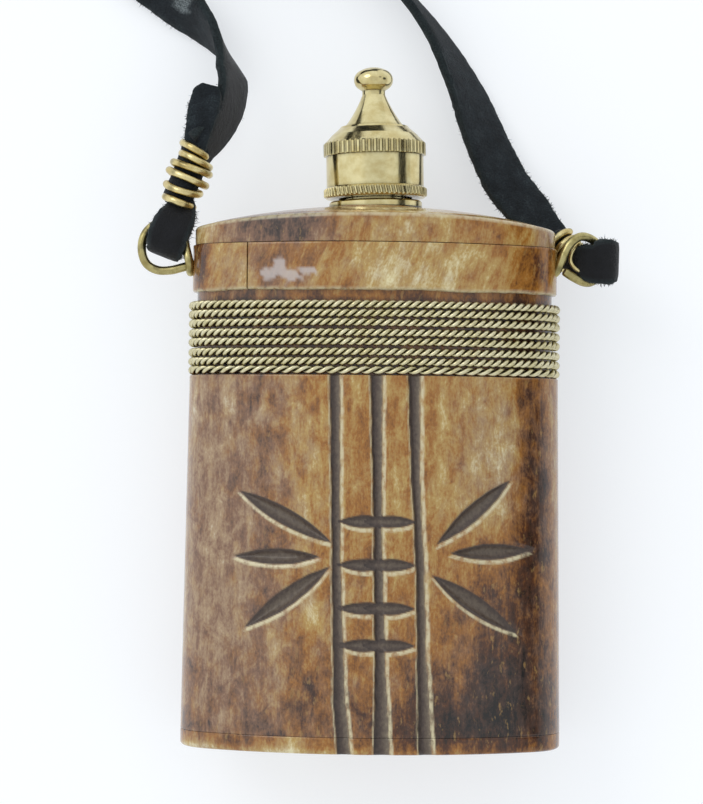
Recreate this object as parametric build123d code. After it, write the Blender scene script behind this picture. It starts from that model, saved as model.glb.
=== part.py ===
"""Pendant snuff bottle of carved bone with a brass screw cap, lying on its back.

The bottle is designed upright: its axis is Z, its foot is at height 0 and its carved front faces -Y.
lay_down() then turns every piece onto its back: the axis runs along +Y, the front looks up along +Z
and the lowest point rests at Z = 0. The thong is designed directly in that lying frame.
"""
from math import atan2, cos, degrees, pi, radians, sin, sqrt, tan
import os

from build123d import *

# ---------------------------------------------------------------- bottle, mm
TOTAL_LENGTH = 82.4
AXIS_HEIGHT = 11.4

BASE_HALF_WIDTH = 22.95
BASE_HALF_DEPTH = 11.4
SIDE_RADIUS = 7.0
BASE_PLATE_TOP = 2.0

BAND_BOTTOM = 44.65
SHOULDER_HALF_WIDTH = 22.35
SHOULDER_HALF_DEPTH = 11.2
REBATE_HALF_WIDTH = 21.5
REBATE_HALF_DEPTH = 10.35

COLLAR_BOTTOM = 55.1
COLLAR_TOP = 60.4
COLLAR_HALF_WIDTH = 22.1
COLLAR_HALF_DEPTH = 11.0
SPIGOT_HALF_WIDTH = 20.4
SPIGOT_HALF_DEPTH = 9.3

CAVITY_HALF_WIDTH = 18.4
CAVITY_HALF_DEPTH = 7.3
CAVITY_SIDE_RADIUS = 5.0

PLATE_HALF_WIDTH = 21.85
PLATE_HALF_DEPTH = 10.9
PLATE_END_HEIGHT = 62.6
PLATE_FRONT_HEIGHT = 63.9
PLATE_CROWN = 65.4
PLATE_SPOT_FACE = 65.2
PLATE_SKIRT = 55.0
PLATE_EDGE_ROUND = 0.5
# the crown is revolved a little further than the plate's half width
PLATE_CROWN_SPREAD = 1.2

# joints between the collar's segments: a little left of centre in front, a little right behind
COLLAR_JOINT_X = 14.8
COLLAR_JOINT_GAP = 0.12

# ---------------------------------------------------------------- wire band
WIRE_RADIUS = 0.5
WIRE_STAND = 0.05
WIRE_HEIGHTS = (53.05, 51.98, 50.9, 49.7, 48.62, 47.4, 46.3, 45.23)

# ---------------------------------------------------------------- carving
GROOVE_RADIUS = 1.1
GROOVE_DEPTH = 0.45
GROOVE_OVERRUN = 0.03
# foot and top positions across the front of the three long grooves
GROOVES = ((-2.7, -4.3), (1.6, 0.5), (6.7, 5.1))
LENS_HEIGHTS = (27.3, 22.1, 17.0, 12.6)
LENS_ENDS = ((-3.7, 0.9), (0.7, 5.6))
LENS_WIDTH = 1.55
# leaf cuts: (end across, end height), (end across, end height), width
LEAVES = (
    ((-15.8, 30.6), (-4.7, 24.6), 2.1),
    ((-16.2, 22.6), (-5.8, 22.8), 2.1),
    ((-14.8, 14.0), (-4.7, 21.7), 2.2),
    ((7.8, 24.3), (16.9, 32.2), 2.1),
    ((9.2, 23.3), (19.8, 23.8), 2.1),
    ((7.5, 20.8), (17.8, 13.8), 2.2),
)
LENS_DEPTH = 0.55
LEAF_DEPTH = 0.75

# ---------------------------------------------------------------- neck, cap and seal
BORE_RADIUS = 3.15
SPOUT_LEAN = 1.6
NECK_SHANK_RADIUS = 3.9
NECK_BOTTOM = 60.7
NECK_TOP = 71.9
WASHER_RADIUS = 5.65
WASHER_TOP = 66.0
WASHER_BEVEL = 0.2
THREAD_PITCH = 1.25
THREAD_ROOT = 3.75
THREAD_CREST = 4.2
THREAD_BOTTOM = 67.2
THREAD_TURNS = 3.0
THREAD_ROOT_WIDTH = 0.72
THREAD_CREST_WIDTH = 0.3
THREAD_BITE = 0.06
CAP_BOTTOM = 66.4
CAP_BORE = 4.5
CAP_CREST = 4.05
CAP_CEILING = 73.0
CAP_THREAD_BOTTOM = THREAD_BOTTOM + THREAD_PITCH / 2
SEAL_RADIUS = 4.3
SEAL_GAP = 0.05

BARREL_RADIUS = 5.92
FLANGE_RADIUS = 6.28
FLANGE_TOP = 67.75
RING_BOTTOM = 71.5
RING_TOP = 73.15
RING_RADIUS = 6.22
# bevels of the cap's flange and knurled ring
CAP_LIP = 0.25
FLANGE_BEVEL = 0.3
RING_UNDERCUT = 0.1
RING_BEVEL = 0.15
# outline above the knurled ring: (radius, height) of the shoulder, its ledge and the cone
CAP_SHOULDER = (5.2, 74.1)
LEDGE_OUTSIDE = (4.3, 74.88)
LEDGE_TOP = (4.12, 75.12)
CONE_START = (3.6, 75.15)
CONE_WAIST = (2.3, 77.1)
STEM_RADIUS = 1.4
STEM_BOTTOM = 79.0
BALL_HEIGHT = 80.95
BALL_RADIUS = 2.38
BALL_FOOT_DROP = 1.45
# the ball's underside starts this far inside its radius and below its middle
BALL_UNDERSIDE = (0.45, 1.1)
BALL_ROUND = 1.05
BALL_ROUND_TURN = 60.0
FLANGE_NOTCHES = 64
RING_NOTCHES = 56
KNURL_RADIUS = 0.22
KNURL_LEAN = 12.0
KNURL_LIFT = 0.04
KNURL_OVERRUN = 1.5

# ---------------------------------------------------------------- eyes
EYE_WIRE = 0.5
EYE_REACH = 28.65
EYE_SHANK_END = 19.2
LEFT_EYE_RADIUS = 2.35
LEFT_EYE_HEIGHT = 59.6
LEFT_SHANK_HEIGHT = 58.7
RIGHT_EYE_RADIUS = 2.9
RIGHT_EYE_HEIGHT = 59.2
RIGHT_EYE_TILT = 28.0
RIGHT_SHANK_HEIGHT = 58.2

# ---------------------------------------------------------------- thong, in the lying frame
THONG_WIDTH = 6.3
THONG_THICKNESS = 1.3
TAIL_START = (-22.9, 29.9, 10.5)
TAIL_END = (-22.4, 37.6, 10.4)
TAIL_WIDTH = 3.0
LEFT_FOLD_END = (-26.0, 18.1, 11.5)
LEFT_FOLD_WIDTH = 5.0
RIGHT_FOLD_END = (30.4, 17.9, 9.8)
RIGHT_FOLD_WIDTH = 5.8
FOLD_ROOT_GAP = 1.4
FOLD_THICKNESS = 3.4
BINDING_WIRE = 0.42
BINDING_RADIUS = 2.3
BUNDLE_RADIUS = BINDING_RADIUS - BINDING_WIRE
LEFT_BINDING = ((-23.6, 24.4, 11.0), (-21.9, 30.7, 9.6))
LEFT_TURNS = 6
RIGHT_BINDING = ((24.9, 18.6, 8.5), (22.3, 22.8, 5.9))
RIGHT_TURNS = 4.5

# routes of the free thong from binding to coil, points chosen by hand
LEFT_RUN = (
    (-22.05, 30.95, 9.6),
    (-19.2, 33.6, 8.3),
    (-17.0, 38.6, 6.4),
    (-18.2, 43.4, 4.4),
    (-22.0, 47.9, 3.0),
    (-28.0, 52.4, 2.4),
    (-33.6, 57.6, 2.8),
    (-38.5, 64.0, 3.2),
    (-43.5, 70.5, 3.2),
)
RIGHT_RUN = (
    (22.3, 22.8, 5.9),
    (18.4, 26.2, 4.6),
    (14.8, 32.6, 3.6),
    (11.2, 40.2, 3.2),
    (6.2, 48.6, 3.2),
    (-1.2, 56.0, 3.2),
    (-10.6, 61.0, 3.2),
    (-21.8, 62.7, 3.2),
)
RUN_RADIUS = sqrt(THONG_WIDTH * THONG_THICKNESS / pi)
ARC_SHARE = 0.45

COIL_CENTRE = (-19.0, 95.0)
COIL_SPACING = 3.0
COIL_CORE_RADIUS = 25.2
COIL_LEFT_TURN = 570.0
COIL_HEIGHT = 6.4


# ---------------------------------------------------------------- shared shapes

BASE_ALIGN = (Align.CENTER, Align.CENTER, Align.MIN)


def front_radius(half_width, half_depth, side_radius):
    """Radius of the long arc of a four-arc oval that meets side arcs of side_radius."""
    reach = half_width - side_radius
    return (reach**2 + half_depth**2 - side_radius**2) / (2 * (half_depth - side_radius))


def oval_wire(half_width, half_depth, side_radius):
    """Closed flat oval of four tangent arcs, wide along X."""
    reach = half_width - side_radius
    centre = front_radius(half_width, half_depth, side_radius) - half_depth
    turn = atan2(centre, reach)
    x = reach + side_radius * cos(turn)
    y = side_radius * sin(turn)
    return Wire([
        ThreePointArc((x, -y), (half_width, 0), (x, y)),
        ThreePointArc((x, y), (0, half_depth), (-x, y)),
        ThreePointArc((-x, y), (-half_width, 0), (-x, -y)),
        ThreePointArc((-x, -y), (0, -half_depth), (x, -y)),
    ])


def offset_oval(half_width, half_depth):
    """Oval wire parallel to the body's own outline: its side radius shrinks with its width."""
    return oval_wire(half_width, half_depth, SIDE_RADIUS - (BASE_HALF_WIDTH - half_width))


def prism(outline, bottom, top):
    """Upright solid on an outline between two heights."""
    return Pos(0, 0, bottom) * extrude(make_face(outline), top - bottom)


def body_half_depth(height):
    """Half depth of the tapered body at a height; the base plate keeps the foot's depth."""
    rise = max(0.0, height - BASE_PLATE_TOP) / (BAND_BOTTOM - BASE_PLATE_TOP)
    return BASE_HALF_DEPTH + (SHOULDER_HALF_DEPTH - BASE_HALF_DEPTH) * rise


def front_point(across, height):
    """Point of the carved front at a distance across it and a height."""
    radius = front_radius(BASE_HALF_WIDTH, BASE_HALF_DEPTH, SIDE_RADIUS)
    depth = body_half_depth(height) - radius + sqrt(radius**2 - across**2)
    return Vector(across, -depth, height)


def lay_down(shape):
    """Turns an upright shape onto its back in the part's own frame."""
    return Pos(0, -TOTAL_LENGTH / 2, AXIS_HEIGHT) * Rot(X=-90) * shape


def spout_axis(shape):
    """Leans a piece of the neck or the cap by the small error of the hole it is set in."""
    return Pos(0, 0, PLATE_SPOT_FACE) * Rot(Y=-SPOUT_LEAN) * Pos(0, 0, -PLATE_SPOT_FACE) * shape


def turned(points):
    """Solid turned about the axis from (radius, height) corners; arcs are given as three points."""
    edges = []
    for start, end in zip(points, points[1:] + points[:1]):
        if len(start) == 4:
            edges.append(ThreePointArc(start[:2], start[2:], end[:2]))
        else:
            edges.append(Line(start[:2], end[:2]))
    profile = Plane.XZ * make_face(Wire(edges))
    return revolve(profile, axis=Axis.Z)


def tube_between(start, end, radius):
    """Straight round bar between two points."""
    start, end = Vector(*start), Vector(*end)
    return Plane(start, z_dir=end - start) * extrude(Circle(radius), (end - start).length)


# ---------------------------------------------------------------- carving

def groove_cutter(foot, top):
    """Round-bottomed groove up the front, from below the foot into the band."""
    lift = GROOVE_RADIUS - GROOVE_DEPTH
    low, high = front_point(foot, 0), front_point(top, BAND_BOTTOM)
    step = (high - low) * GROOVE_OVERRUN
    out = Vector(0, -lift, 0)
    return tube_between(low - step + out, high + step + out, GROOVE_RADIUS)


def leaf_cutter(start, end, width, depth):
    """Spindle that leaves a pointed leaf cut between two points of the curved front."""
    p, q = front_point(*start), front_point(*end)
    middle = front_point((start[0] + end[0]) / 2, (start[1] + end[1]) / 2)
    bulge = (middle - (p + q) / 2).length
    waist = ((width / 2) ** 2 / depth + depth) / 2
    half = (q - p).length / 2
    drop = depth - bulge
    sweep_radius = half**2 / (2 * drop) + drop / 2
    reach = sqrt(sweep_radius**2 - (sweep_radius - waist) ** 2)
    arc_radius = front_radius(BASE_HALF_WIDTH, BASE_HALF_DEPTH, SIDE_RADIUS)
    out = Vector(middle.X, middle.Y - arc_radius + body_half_depth(middle.Z), 0).normalized()
    profile = make_face([ThreePointArc((-reach, 0), (0, waist), (reach, 0)), Line((reach, 0), (-reach, 0))])
    spindle = revolve(profile, axis=Axis.X)
    seat = Plane(middle + out * (waist - depth), x_dir=q - p, z_dir=out)
    return seat * spindle


def carving():
    """All the cuts of the front."""
    cutters = [groove_cutter(foot, top) for foot, top in GROOVES]
    for height in LENS_HEIGHTS:
        for left, right in LENS_ENDS:
            cutters.append(leaf_cutter((left, height), (right, height), LENS_WIDTH, LENS_DEPTH))
    for start, end, width in LEAVES:
        cutters.append(leaf_cutter(start, end, width, LEAF_DEPTH))
    return cutters


# ---------------------------------------------------------------- bone pieces

def bottle_body():
    """Tapered tube with a rebate for the wire band, a spigot for the collar and the carved front."""
    foot = Pos(0, 0, BASE_PLATE_TOP) * offset_oval(BASE_HALF_WIDTH, BASE_HALF_DEPTH)
    shoulder = Pos(0, 0, BAND_BOTTOM) * offset_oval(SHOULDER_HALF_WIDTH, SHOULDER_HALF_DEPTH)
    body = loft([make_face(foot), make_face(shoulder)], ruled=True)
    body += prism(offset_oval(REBATE_HALF_WIDTH, REBATE_HALF_DEPTH), BAND_BOTTOM, COLLAR_BOTTOM)
    body += prism(offset_oval(SPIGOT_HALF_WIDTH, SPIGOT_HALF_DEPTH), COLLAR_BOTTOM, COLLAR_TOP)
    cavity = oval_wire(CAVITY_HALF_WIDTH, CAVITY_HALF_DEPTH, CAVITY_SIDE_RADIUS)
    body -= prism(cavity, BASE_PLATE_TOP, COLLAR_TOP)
    return body - carving() - eye_pins()


def base_plate():
    """Plate under the body; the long grooves run out over its rim."""
    plate = prism(offset_oval(BASE_HALF_WIDTH, BASE_HALF_DEPTH), 0, BASE_PLATE_TOP)
    plate = fillet(plate.edges().group_by(Axis.Z)[0], PLATE_EDGE_ROUND)
    return plate - carving()


def collar_segments():
    """Front and back halves of the collar, which meet at two upright joints."""
    ring = prism(offset_oval(COLLAR_HALF_WIDTH, COLLAR_HALF_DEPTH), COLLAR_BOTTOM, COLLAR_TOP)
    ring -= prism(offset_oval(SPIGOT_HALF_WIDTH, SPIGOT_HALF_DEPTH), COLLAR_BOTTOM, COLLAR_TOP)
    ring -= eye_pins()
    far = 2 * BASE_HALF_WIDTH
    middle = (COLLAR_BOTTOM + COLLAR_TOP) / 2
    half_gap = COLLAR_JOINT_GAP / 2
    before = Box(far, far, far, align=(Align.MIN, Align.MAX, Align.CENTER))
    behind = Box(far, far, far, align=(Align.MIN, Align.MIN, Align.CENTER))
    front_zone = Pos(-COLLAR_JOINT_X, 0, middle) * before + Pos(COLLAR_JOINT_X, 0, middle) * behind
    front = ring & (Pos(half_gap, 0, 0) * front_zone)
    back = ring - (Pos(-half_gap, 0, 0) * front_zone)
    return front, back


def top_plate():
    """Shoulder plate: an oval prism under a crown that curves more over its depth than its width."""
    rise = PLATE_CROWN - PLATE_END_HEIGHT
    across_radius = (PLATE_HALF_WIDTH**2 + rise**2) / (2 * rise)
    fall = PLATE_CROWN - PLATE_FRONT_HEIGHT
    depth_radius = (PLATE_HALF_DEPTH**2 + fall**2) / (2 * fall)
    far = PLATE_HALF_DEPTH + 1
    side = PLATE_CROWN - depth_radius + sqrt(depth_radius**2 - far**2)
    section = Plane.YZ * make_face([
        ThreePointArc((-far, side), (0, PLATE_CROWN), (far, side)),
        Polyline((far, side), (far, PLATE_SKIRT), (-far, PLATE_SKIRT), (-far, side)),
    ])
    hinge = Axis((0, 0, PLATE_CROWN - across_radius), (0, 1, 0))
    half_angle = degrees(PLATE_HALF_WIDTH * PLATE_CROWN_SPREAD / across_radius)
    dome = revolve(section.rotate(hinge, -half_angle), axis=hinge, revolution_arc=2 * half_angle)
    plate = prism(offset_oval(PLATE_HALF_WIDTH, PLATE_HALF_DEPTH), COLLAR_TOP, PLATE_CROWN + 1) & dome
    plate = fillet(plate.edges().group_by(Axis.Z)[-1], PLATE_EDGE_ROUND)
    plate -= spout_axis(Pos(0, 0, PLATE_SPOT_FACE) * Cylinder(WASHER_RADIUS, 2, align=BASE_ALIGN))
    return plate - spout_axis(Cylinder(NECK_SHANK_RADIUS, 2 * TOTAL_LENGTH))


# ---------------------------------------------------------------- neck and cap

def thread_ridge(root, crest, bottom, turns):
    """Right-hand trapezoid ridge from its root radius to its crest radius."""
    helix = Helix(THREAD_PITCH, turns * THREAD_PITCH, root, center=(0, 0, bottom))
    corners = [
        (root, -THREAD_ROOT_WIDTH / 2),
        (crest, -THREAD_CREST_WIDTH / 2),
        (crest, THREAD_CREST_WIDTH / 2),
        (root, THREAD_ROOT_WIDTH / 2),
    ]
    profile = Pos(0, 0, bottom) * (Plane.XZ * make_face(Polyline(*corners, close=True)))
    return sweep(profile, path=helix, is_frenet=True)


def neck():
    """Threaded spout, cemented into the top plate by its plain shank."""
    core = turned([
        (BORE_RADIUS, NECK_BOTTOM), (NECK_SHANK_RADIUS, NECK_BOTTOM), (NECK_SHANK_RADIUS, WASHER_TOP),
        (THREAD_ROOT, WASHER_TOP), (THREAD_ROOT, NECK_TOP), (BORE_RADIUS, NECK_TOP),
    ])
    ridge = thread_ridge(THREAD_ROOT - THREAD_BITE, THREAD_CREST, THREAD_BOTTOM, THREAD_TURNS)
    return spout_axis(core + ridge)


def neck_washer():
    """Flange ring between the top plate and the cap."""
    ring = turned([
        (NECK_SHANK_RADIUS, PLATE_SPOT_FACE), (WASHER_RADIUS, PLATE_SPOT_FACE),
        (WASHER_RADIUS, WASHER_TOP - WASHER_BEVEL), (WASHER_RADIUS - WASHER_BEVEL, WASHER_TOP),
        (NECK_SHANK_RADIUS, WASHER_TOP),
    ])
    return spout_axis(ring)


def knurl(radius, bottom, top, lean, count):
    """Round-bottomed notches spaced round a ring, leaning by an angle from the axis."""
    middle = (bottom + top) / 2
    length = KNURL_OVERRUN * (top - bottom)
    notch = Pos(radius + KNURL_LIFT, 0, middle) * Rot(X=lean) * Cylinder(KNURL_RADIUS, length)
    return [Rot(Z=360 / count * (index + 0.5)) * notch for index in range(count)]


def screw_cap():
    """Turned cap: knurled flange, plain barrel, knurled ring, shoulder, concave cone and ball."""
    edge_turn = radians(BALL_ROUND_TURN)
    ball_edge = (BALL_RADIUS - BALL_ROUND * (1 - cos(edge_turn)), BALL_HEIGHT + BALL_ROUND * sin(edge_turn))
    ball_foot = (BALL_RADIUS - BALL_UNDERSIDE[0], BALL_HEIGHT - BALL_UNDERSIDE[1])
    crown_rise = TOTAL_LENGTH - ball_edge[1]
    crown_radius = (ball_edge[0] ** 2 + crown_rise**2) / (2 * crown_rise)
    half_out = ball_edge[0] / 2
    ball_top = (half_out, TOTAL_LENGTH - crown_radius + sqrt(crown_radius**2 - half_out**2))
    shell = turned([
        (CAP_BORE, CAP_BOTTOM), (FLANGE_RADIUS - FLANGE_BEVEL, CAP_BOTTOM),
        (FLANGE_RADIUS, CAP_BOTTOM + CAP_LIP), (FLANGE_RADIUS, FLANGE_TOP - FLANGE_BEVEL),
        (BARREL_RADIUS, FLANGE_TOP), (BARREL_RADIUS, RING_BOTTOM),
        (RING_RADIUS, RING_BOTTOM + RING_UNDERCUT), (RING_RADIUS, RING_TOP - RING_BEVEL),
        (RING_RADIUS - RING_BEVEL, RING_TOP), CAP_SHOULDER, LEDGE_OUTSIDE, LEDGE_TOP,
        (*CONE_START, *CONE_WAIST),
        (STEM_RADIUS, STEM_BOTTOM), (STEM_RADIUS, BALL_HEIGHT - BALL_FOOT_DROP),
        (*ball_foot, BALL_RADIUS, BALL_HEIGHT), (*ball_edge, *ball_top),
        (0, TOTAL_LENGTH), (0, CAP_CEILING), (CAP_BORE, CAP_CEILING),
    ])
    shell -= knurl(FLANGE_RADIUS, CAP_BOTTOM, FLANGE_TOP, KNURL_LEAN, FLANGE_NOTCHES)
    shell -= knurl(RING_RADIUS, RING_BOTTOM, RING_TOP, 0, RING_NOTCHES)
    ridge = thread_ridge(CAP_BORE + THREAD_BITE, CAP_CREST, CAP_THREAD_BOTTOM, THREAD_TURNS)
    return spout_axis(shell + ridge)


def cap_seal():
    """Leather disc between the spout's rim and the cap's ceiling."""
    height = CAP_CEILING - NECK_TOP - 2 * SEAL_GAP
    return spout_axis(Pos(0, 0, NECK_TOP + SEAL_GAP) * Cylinder(SEAL_RADIUS, height, align=BASE_ALIGN))


# ---------------------------------------------------------------- wire work

def wire_turn(height):
    """One hoop of the band, lying in the rebate."""
    inset = WIRE_STAND + WIRE_RADIUS
    path = Pos(0, 0, height) * offset_oval(REBATE_HALF_WIDTH + inset, REBATE_HALF_DEPTH + inset)
    start = REBATE_HALF_WIDTH + inset
    section = Pos(start, 0, height) * (Plane.XZ * Circle(WIRE_RADIUS))
    return sweep(section, path=path)


def eye_pin(side, ring_radius, ring_height, shank_height, tilt):
    """Wire ring with a straight shank that ends inside the spigot's wall; side is -1 left, 1 right."""
    lean = radians(tilt)
    centre = EYE_REACH - EYE_WIRE - ring_radius * cos(lean)
    ring = Pos(side * centre, 0, ring_height) * Rot(Z=side * tilt) * Rot(X=90) * Torus(ring_radius, EYE_WIRE)
    drop = ring_height - shank_height
    run = sqrt(ring_radius**2 - drop**2)
    root = (side * (centre - run * cos(lean)), -run * sin(lean), shank_height)
    tip = (side * EYE_SHANK_END, -run * sin(lean), shank_height)
    return ring + tube_between(root, tip, EYE_WIRE)


def eye_pins():
    """Left and right eye pins, upright."""
    left = eye_pin(-1, LEFT_EYE_RADIUS, LEFT_EYE_HEIGHT, LEFT_SHANK_HEIGHT, 0)
    right = eye_pin(1, RIGHT_EYE_RADIUS, RIGHT_EYE_HEIGHT, RIGHT_SHANK_HEIGHT, RIGHT_EYE_TILT)
    return [left, right]


def binding(ends, turns):
    """Wire wound round the folded thong."""
    start, end = Vector(*ends[0]), Vector(*ends[1])
    length = (end - start).length
    height = length - 2 * BINDING_WIRE
    helix = Helix(height / turns, height, BINDING_RADIUS, center=(0, 0, BINDING_WIRE))
    wire = sweep((helix ^ 0) * Circle(BINDING_WIRE), path=helix, is_frenet=True)
    return Plane(start, z_dir=end - start) * wire


# ---------------------------------------------------------------- thong

def fold_block(start, end, width, thickness, normal):
    """Plain block of folded strap from the eye towards its binding."""
    start, end = Vector(*start), Vector(*end)
    seat = Plane(start, x_dir=Vector(*normal).cross(end - start), z_dir=end - start)
    return seat * extrude(RectangleRounded(width, thickness, thickness / 4), (end - start).length)


def fold(fold_end, width, binding_ends, pin):
    """Folded end of the strap: a block through the eye and a round bundle under the binding."""
    start, end = Vector(*binding_ends[0]), Vector(*binding_ends[1])
    root = start - (end - start).normalized() * FOLD_ROOT_GAP
    block = fold_block(fold_end, root, width, FOLD_THICKNESS, (0, 0, 1))
    bundle = tube_between(root, end, BUNDLE_RADIUS)
    return block + bundle - pin


def thong_left_fold(pin):
    """Fold in the left eye, with the strap's cut tail standing out of its binding."""
    tail = fold_block(TAIL_START, TAIL_END, TAIL_WIDTH, THONG_THICKNESS, (0, 0, 1))
    return fold(LEFT_FOLD_END, LEFT_FOLD_WIDTH, LEFT_BINDING, pin) + tail


def thong_right_fold(pin):
    """Fold in the right eye, standing out beyond the ring."""
    return fold(RIGHT_FOLD_END, RIGHT_FOLD_WIDTH, RIGHT_BINDING, pin)


def run_radii(points):
    """Arc radius at each corner: nearly half of the shorter run over the tangent of half the turn."""
    radii = []
    for before, corner, after in zip(points, points[1:], points[2:]):
        first = Vector(*corner) - Vector(*before)
        second = Vector(*after) - Vector(*corner)
        turn = radians(first.get_angle(second))
        radii.append(ARC_SHARE * min(first.length, second.length) / tan(turn / 2))
    return radii


def thong_run(name, points):
    """Round tube with the strap's own section area along straight runs and tangent arcs."""
    radii = run_radii(points)
    path = FilletPolyline(*points, radius=radii)
    tube = sweep((path ^ 0) * Circle(RUN_RADIUS), path=path)
    ideal = pi * RUN_RADIUS**2 * path.length
    print(f"{name}: length {path.length:.1f}, volume {tube.volume:.1f} against {ideal:.1f}, radii",
          " ".join(f"{radius:.1f}" for radius in radii))
    return tube


def coil_radius():
    """Outermost radius of the rolled thong's centreline."""
    return COIL_CORE_RADIUS + COIL_SPACING * COIL_LEFT_TURN / 180


def thong_coil():
    """Outer shape of the rolled-up thong, lying on the table."""
    radius = coil_radius() + THONG_THICKNESS
    return Pos(*COIL_CENTRE, 0) * Cylinder(radius, COIL_HEIGHT, align=BASE_ALIGN)


# ---------------------------------------------------------------- assembly

def make_nodes():
    """Every piece of the object by node name, in the lying frame."""
    collar_front, collar_back = collar_segments()
    left_pin, right_pin = eye_pins()
    upright = {
        "bottle_body": bottle_body(),
        "base_plate": base_plate(),
        "collar_front": collar_front,
        "collar_back": collar_back,
        "top_plate": top_plate(),
        "neck": neck(),
        "neck_washer": neck_washer(),
        "cap_seal": cap_seal(),
        "screw_cap": screw_cap(),
        "eye_pin_left": left_pin,
        "eye_pin_right": right_pin,
    }
    for number, height in enumerate(WIRE_HEIGHTS, start=1):
        upright[f"wire_turn_{number}"] = wire_turn(height)
    nodes = {name: lay_down(shape) for name, shape in upright.items()}
    nodes["thong_left_fold"] = thong_left_fold(nodes["eye_pin_left"])
    nodes["thong_right_fold"] = thong_right_fold(nodes["eye_pin_right"])
    nodes["binding_left"] = binding(LEFT_BINDING, LEFT_TURNS)
    nodes["binding_right"] = binding(RIGHT_BINDING, RIGHT_TURNS)
    nodes["thong_left_run"] = thong_run("thong_left_run", LEFT_RUN)
    nodes["thong_right_run"] = thong_run("thong_right_run", RIGHT_RUN)
    nodes["thong_coil"] = thong_coil()
    return nodes


os.makedirs("parts", exist_ok=True)
for node_name, node_shape in make_nodes().items():
    export_step(node_shape, f"parts/{node_name}.step")
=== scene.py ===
"""Looks of a pendant snuff bottle: carved bone, twisted wire band, brass screw cap and leather thong.

Lengths are written in millimetres and turned into metres when a mesh is made. The bottle lies on its
back: X is across it, Y along its axis towards the cap and Z up out of its carved front. "Height" means
the distance along the axis from the bottle's foot, which is how the bottle itself is designed.
"""
import math

import bpy
import numpy as np
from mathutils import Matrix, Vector, noise


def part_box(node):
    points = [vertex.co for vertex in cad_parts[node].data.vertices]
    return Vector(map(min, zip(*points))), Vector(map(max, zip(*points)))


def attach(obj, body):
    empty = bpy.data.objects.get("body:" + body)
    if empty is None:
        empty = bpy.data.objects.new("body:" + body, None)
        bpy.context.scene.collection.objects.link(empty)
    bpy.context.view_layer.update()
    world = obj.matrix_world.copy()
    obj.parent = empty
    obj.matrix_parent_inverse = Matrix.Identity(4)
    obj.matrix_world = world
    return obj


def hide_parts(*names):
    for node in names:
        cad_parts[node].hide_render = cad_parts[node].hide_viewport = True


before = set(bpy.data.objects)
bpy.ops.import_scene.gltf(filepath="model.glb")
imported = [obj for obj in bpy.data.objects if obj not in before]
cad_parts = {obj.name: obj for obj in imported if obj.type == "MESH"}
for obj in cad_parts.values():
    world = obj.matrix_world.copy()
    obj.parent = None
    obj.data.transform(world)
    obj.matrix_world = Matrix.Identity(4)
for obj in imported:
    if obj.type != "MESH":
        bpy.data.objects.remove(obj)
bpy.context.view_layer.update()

MM = 0.001
foot_low, foot_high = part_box("base_plate")
FOOT_Y = foot_low.y / MM
AXIS_Z = (foot_low.z + foot_high.z) / 2 / MM

# ---------------------------------------------------------------- camera

camera_data = bpy.data.cameras.new("camera")
camera_data.lens = 128.43
camera_data.sensor_width = 36.0
camera_data.clip_start = 0.01
camera_data.clip_end = 10.0
camera = bpy.data.objects.new("camera", camera_data)
camera.location = (-0.00260, -0.00555, 0.3597)
camera.rotation_euler = (math.radians(0.985), 0.0, math.radians(0.65))
bpy.context.scene.collection.objects.link(camera)
bpy.context.scene.camera = camera


# ---------------------------------------------------------------- node helpers


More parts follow.
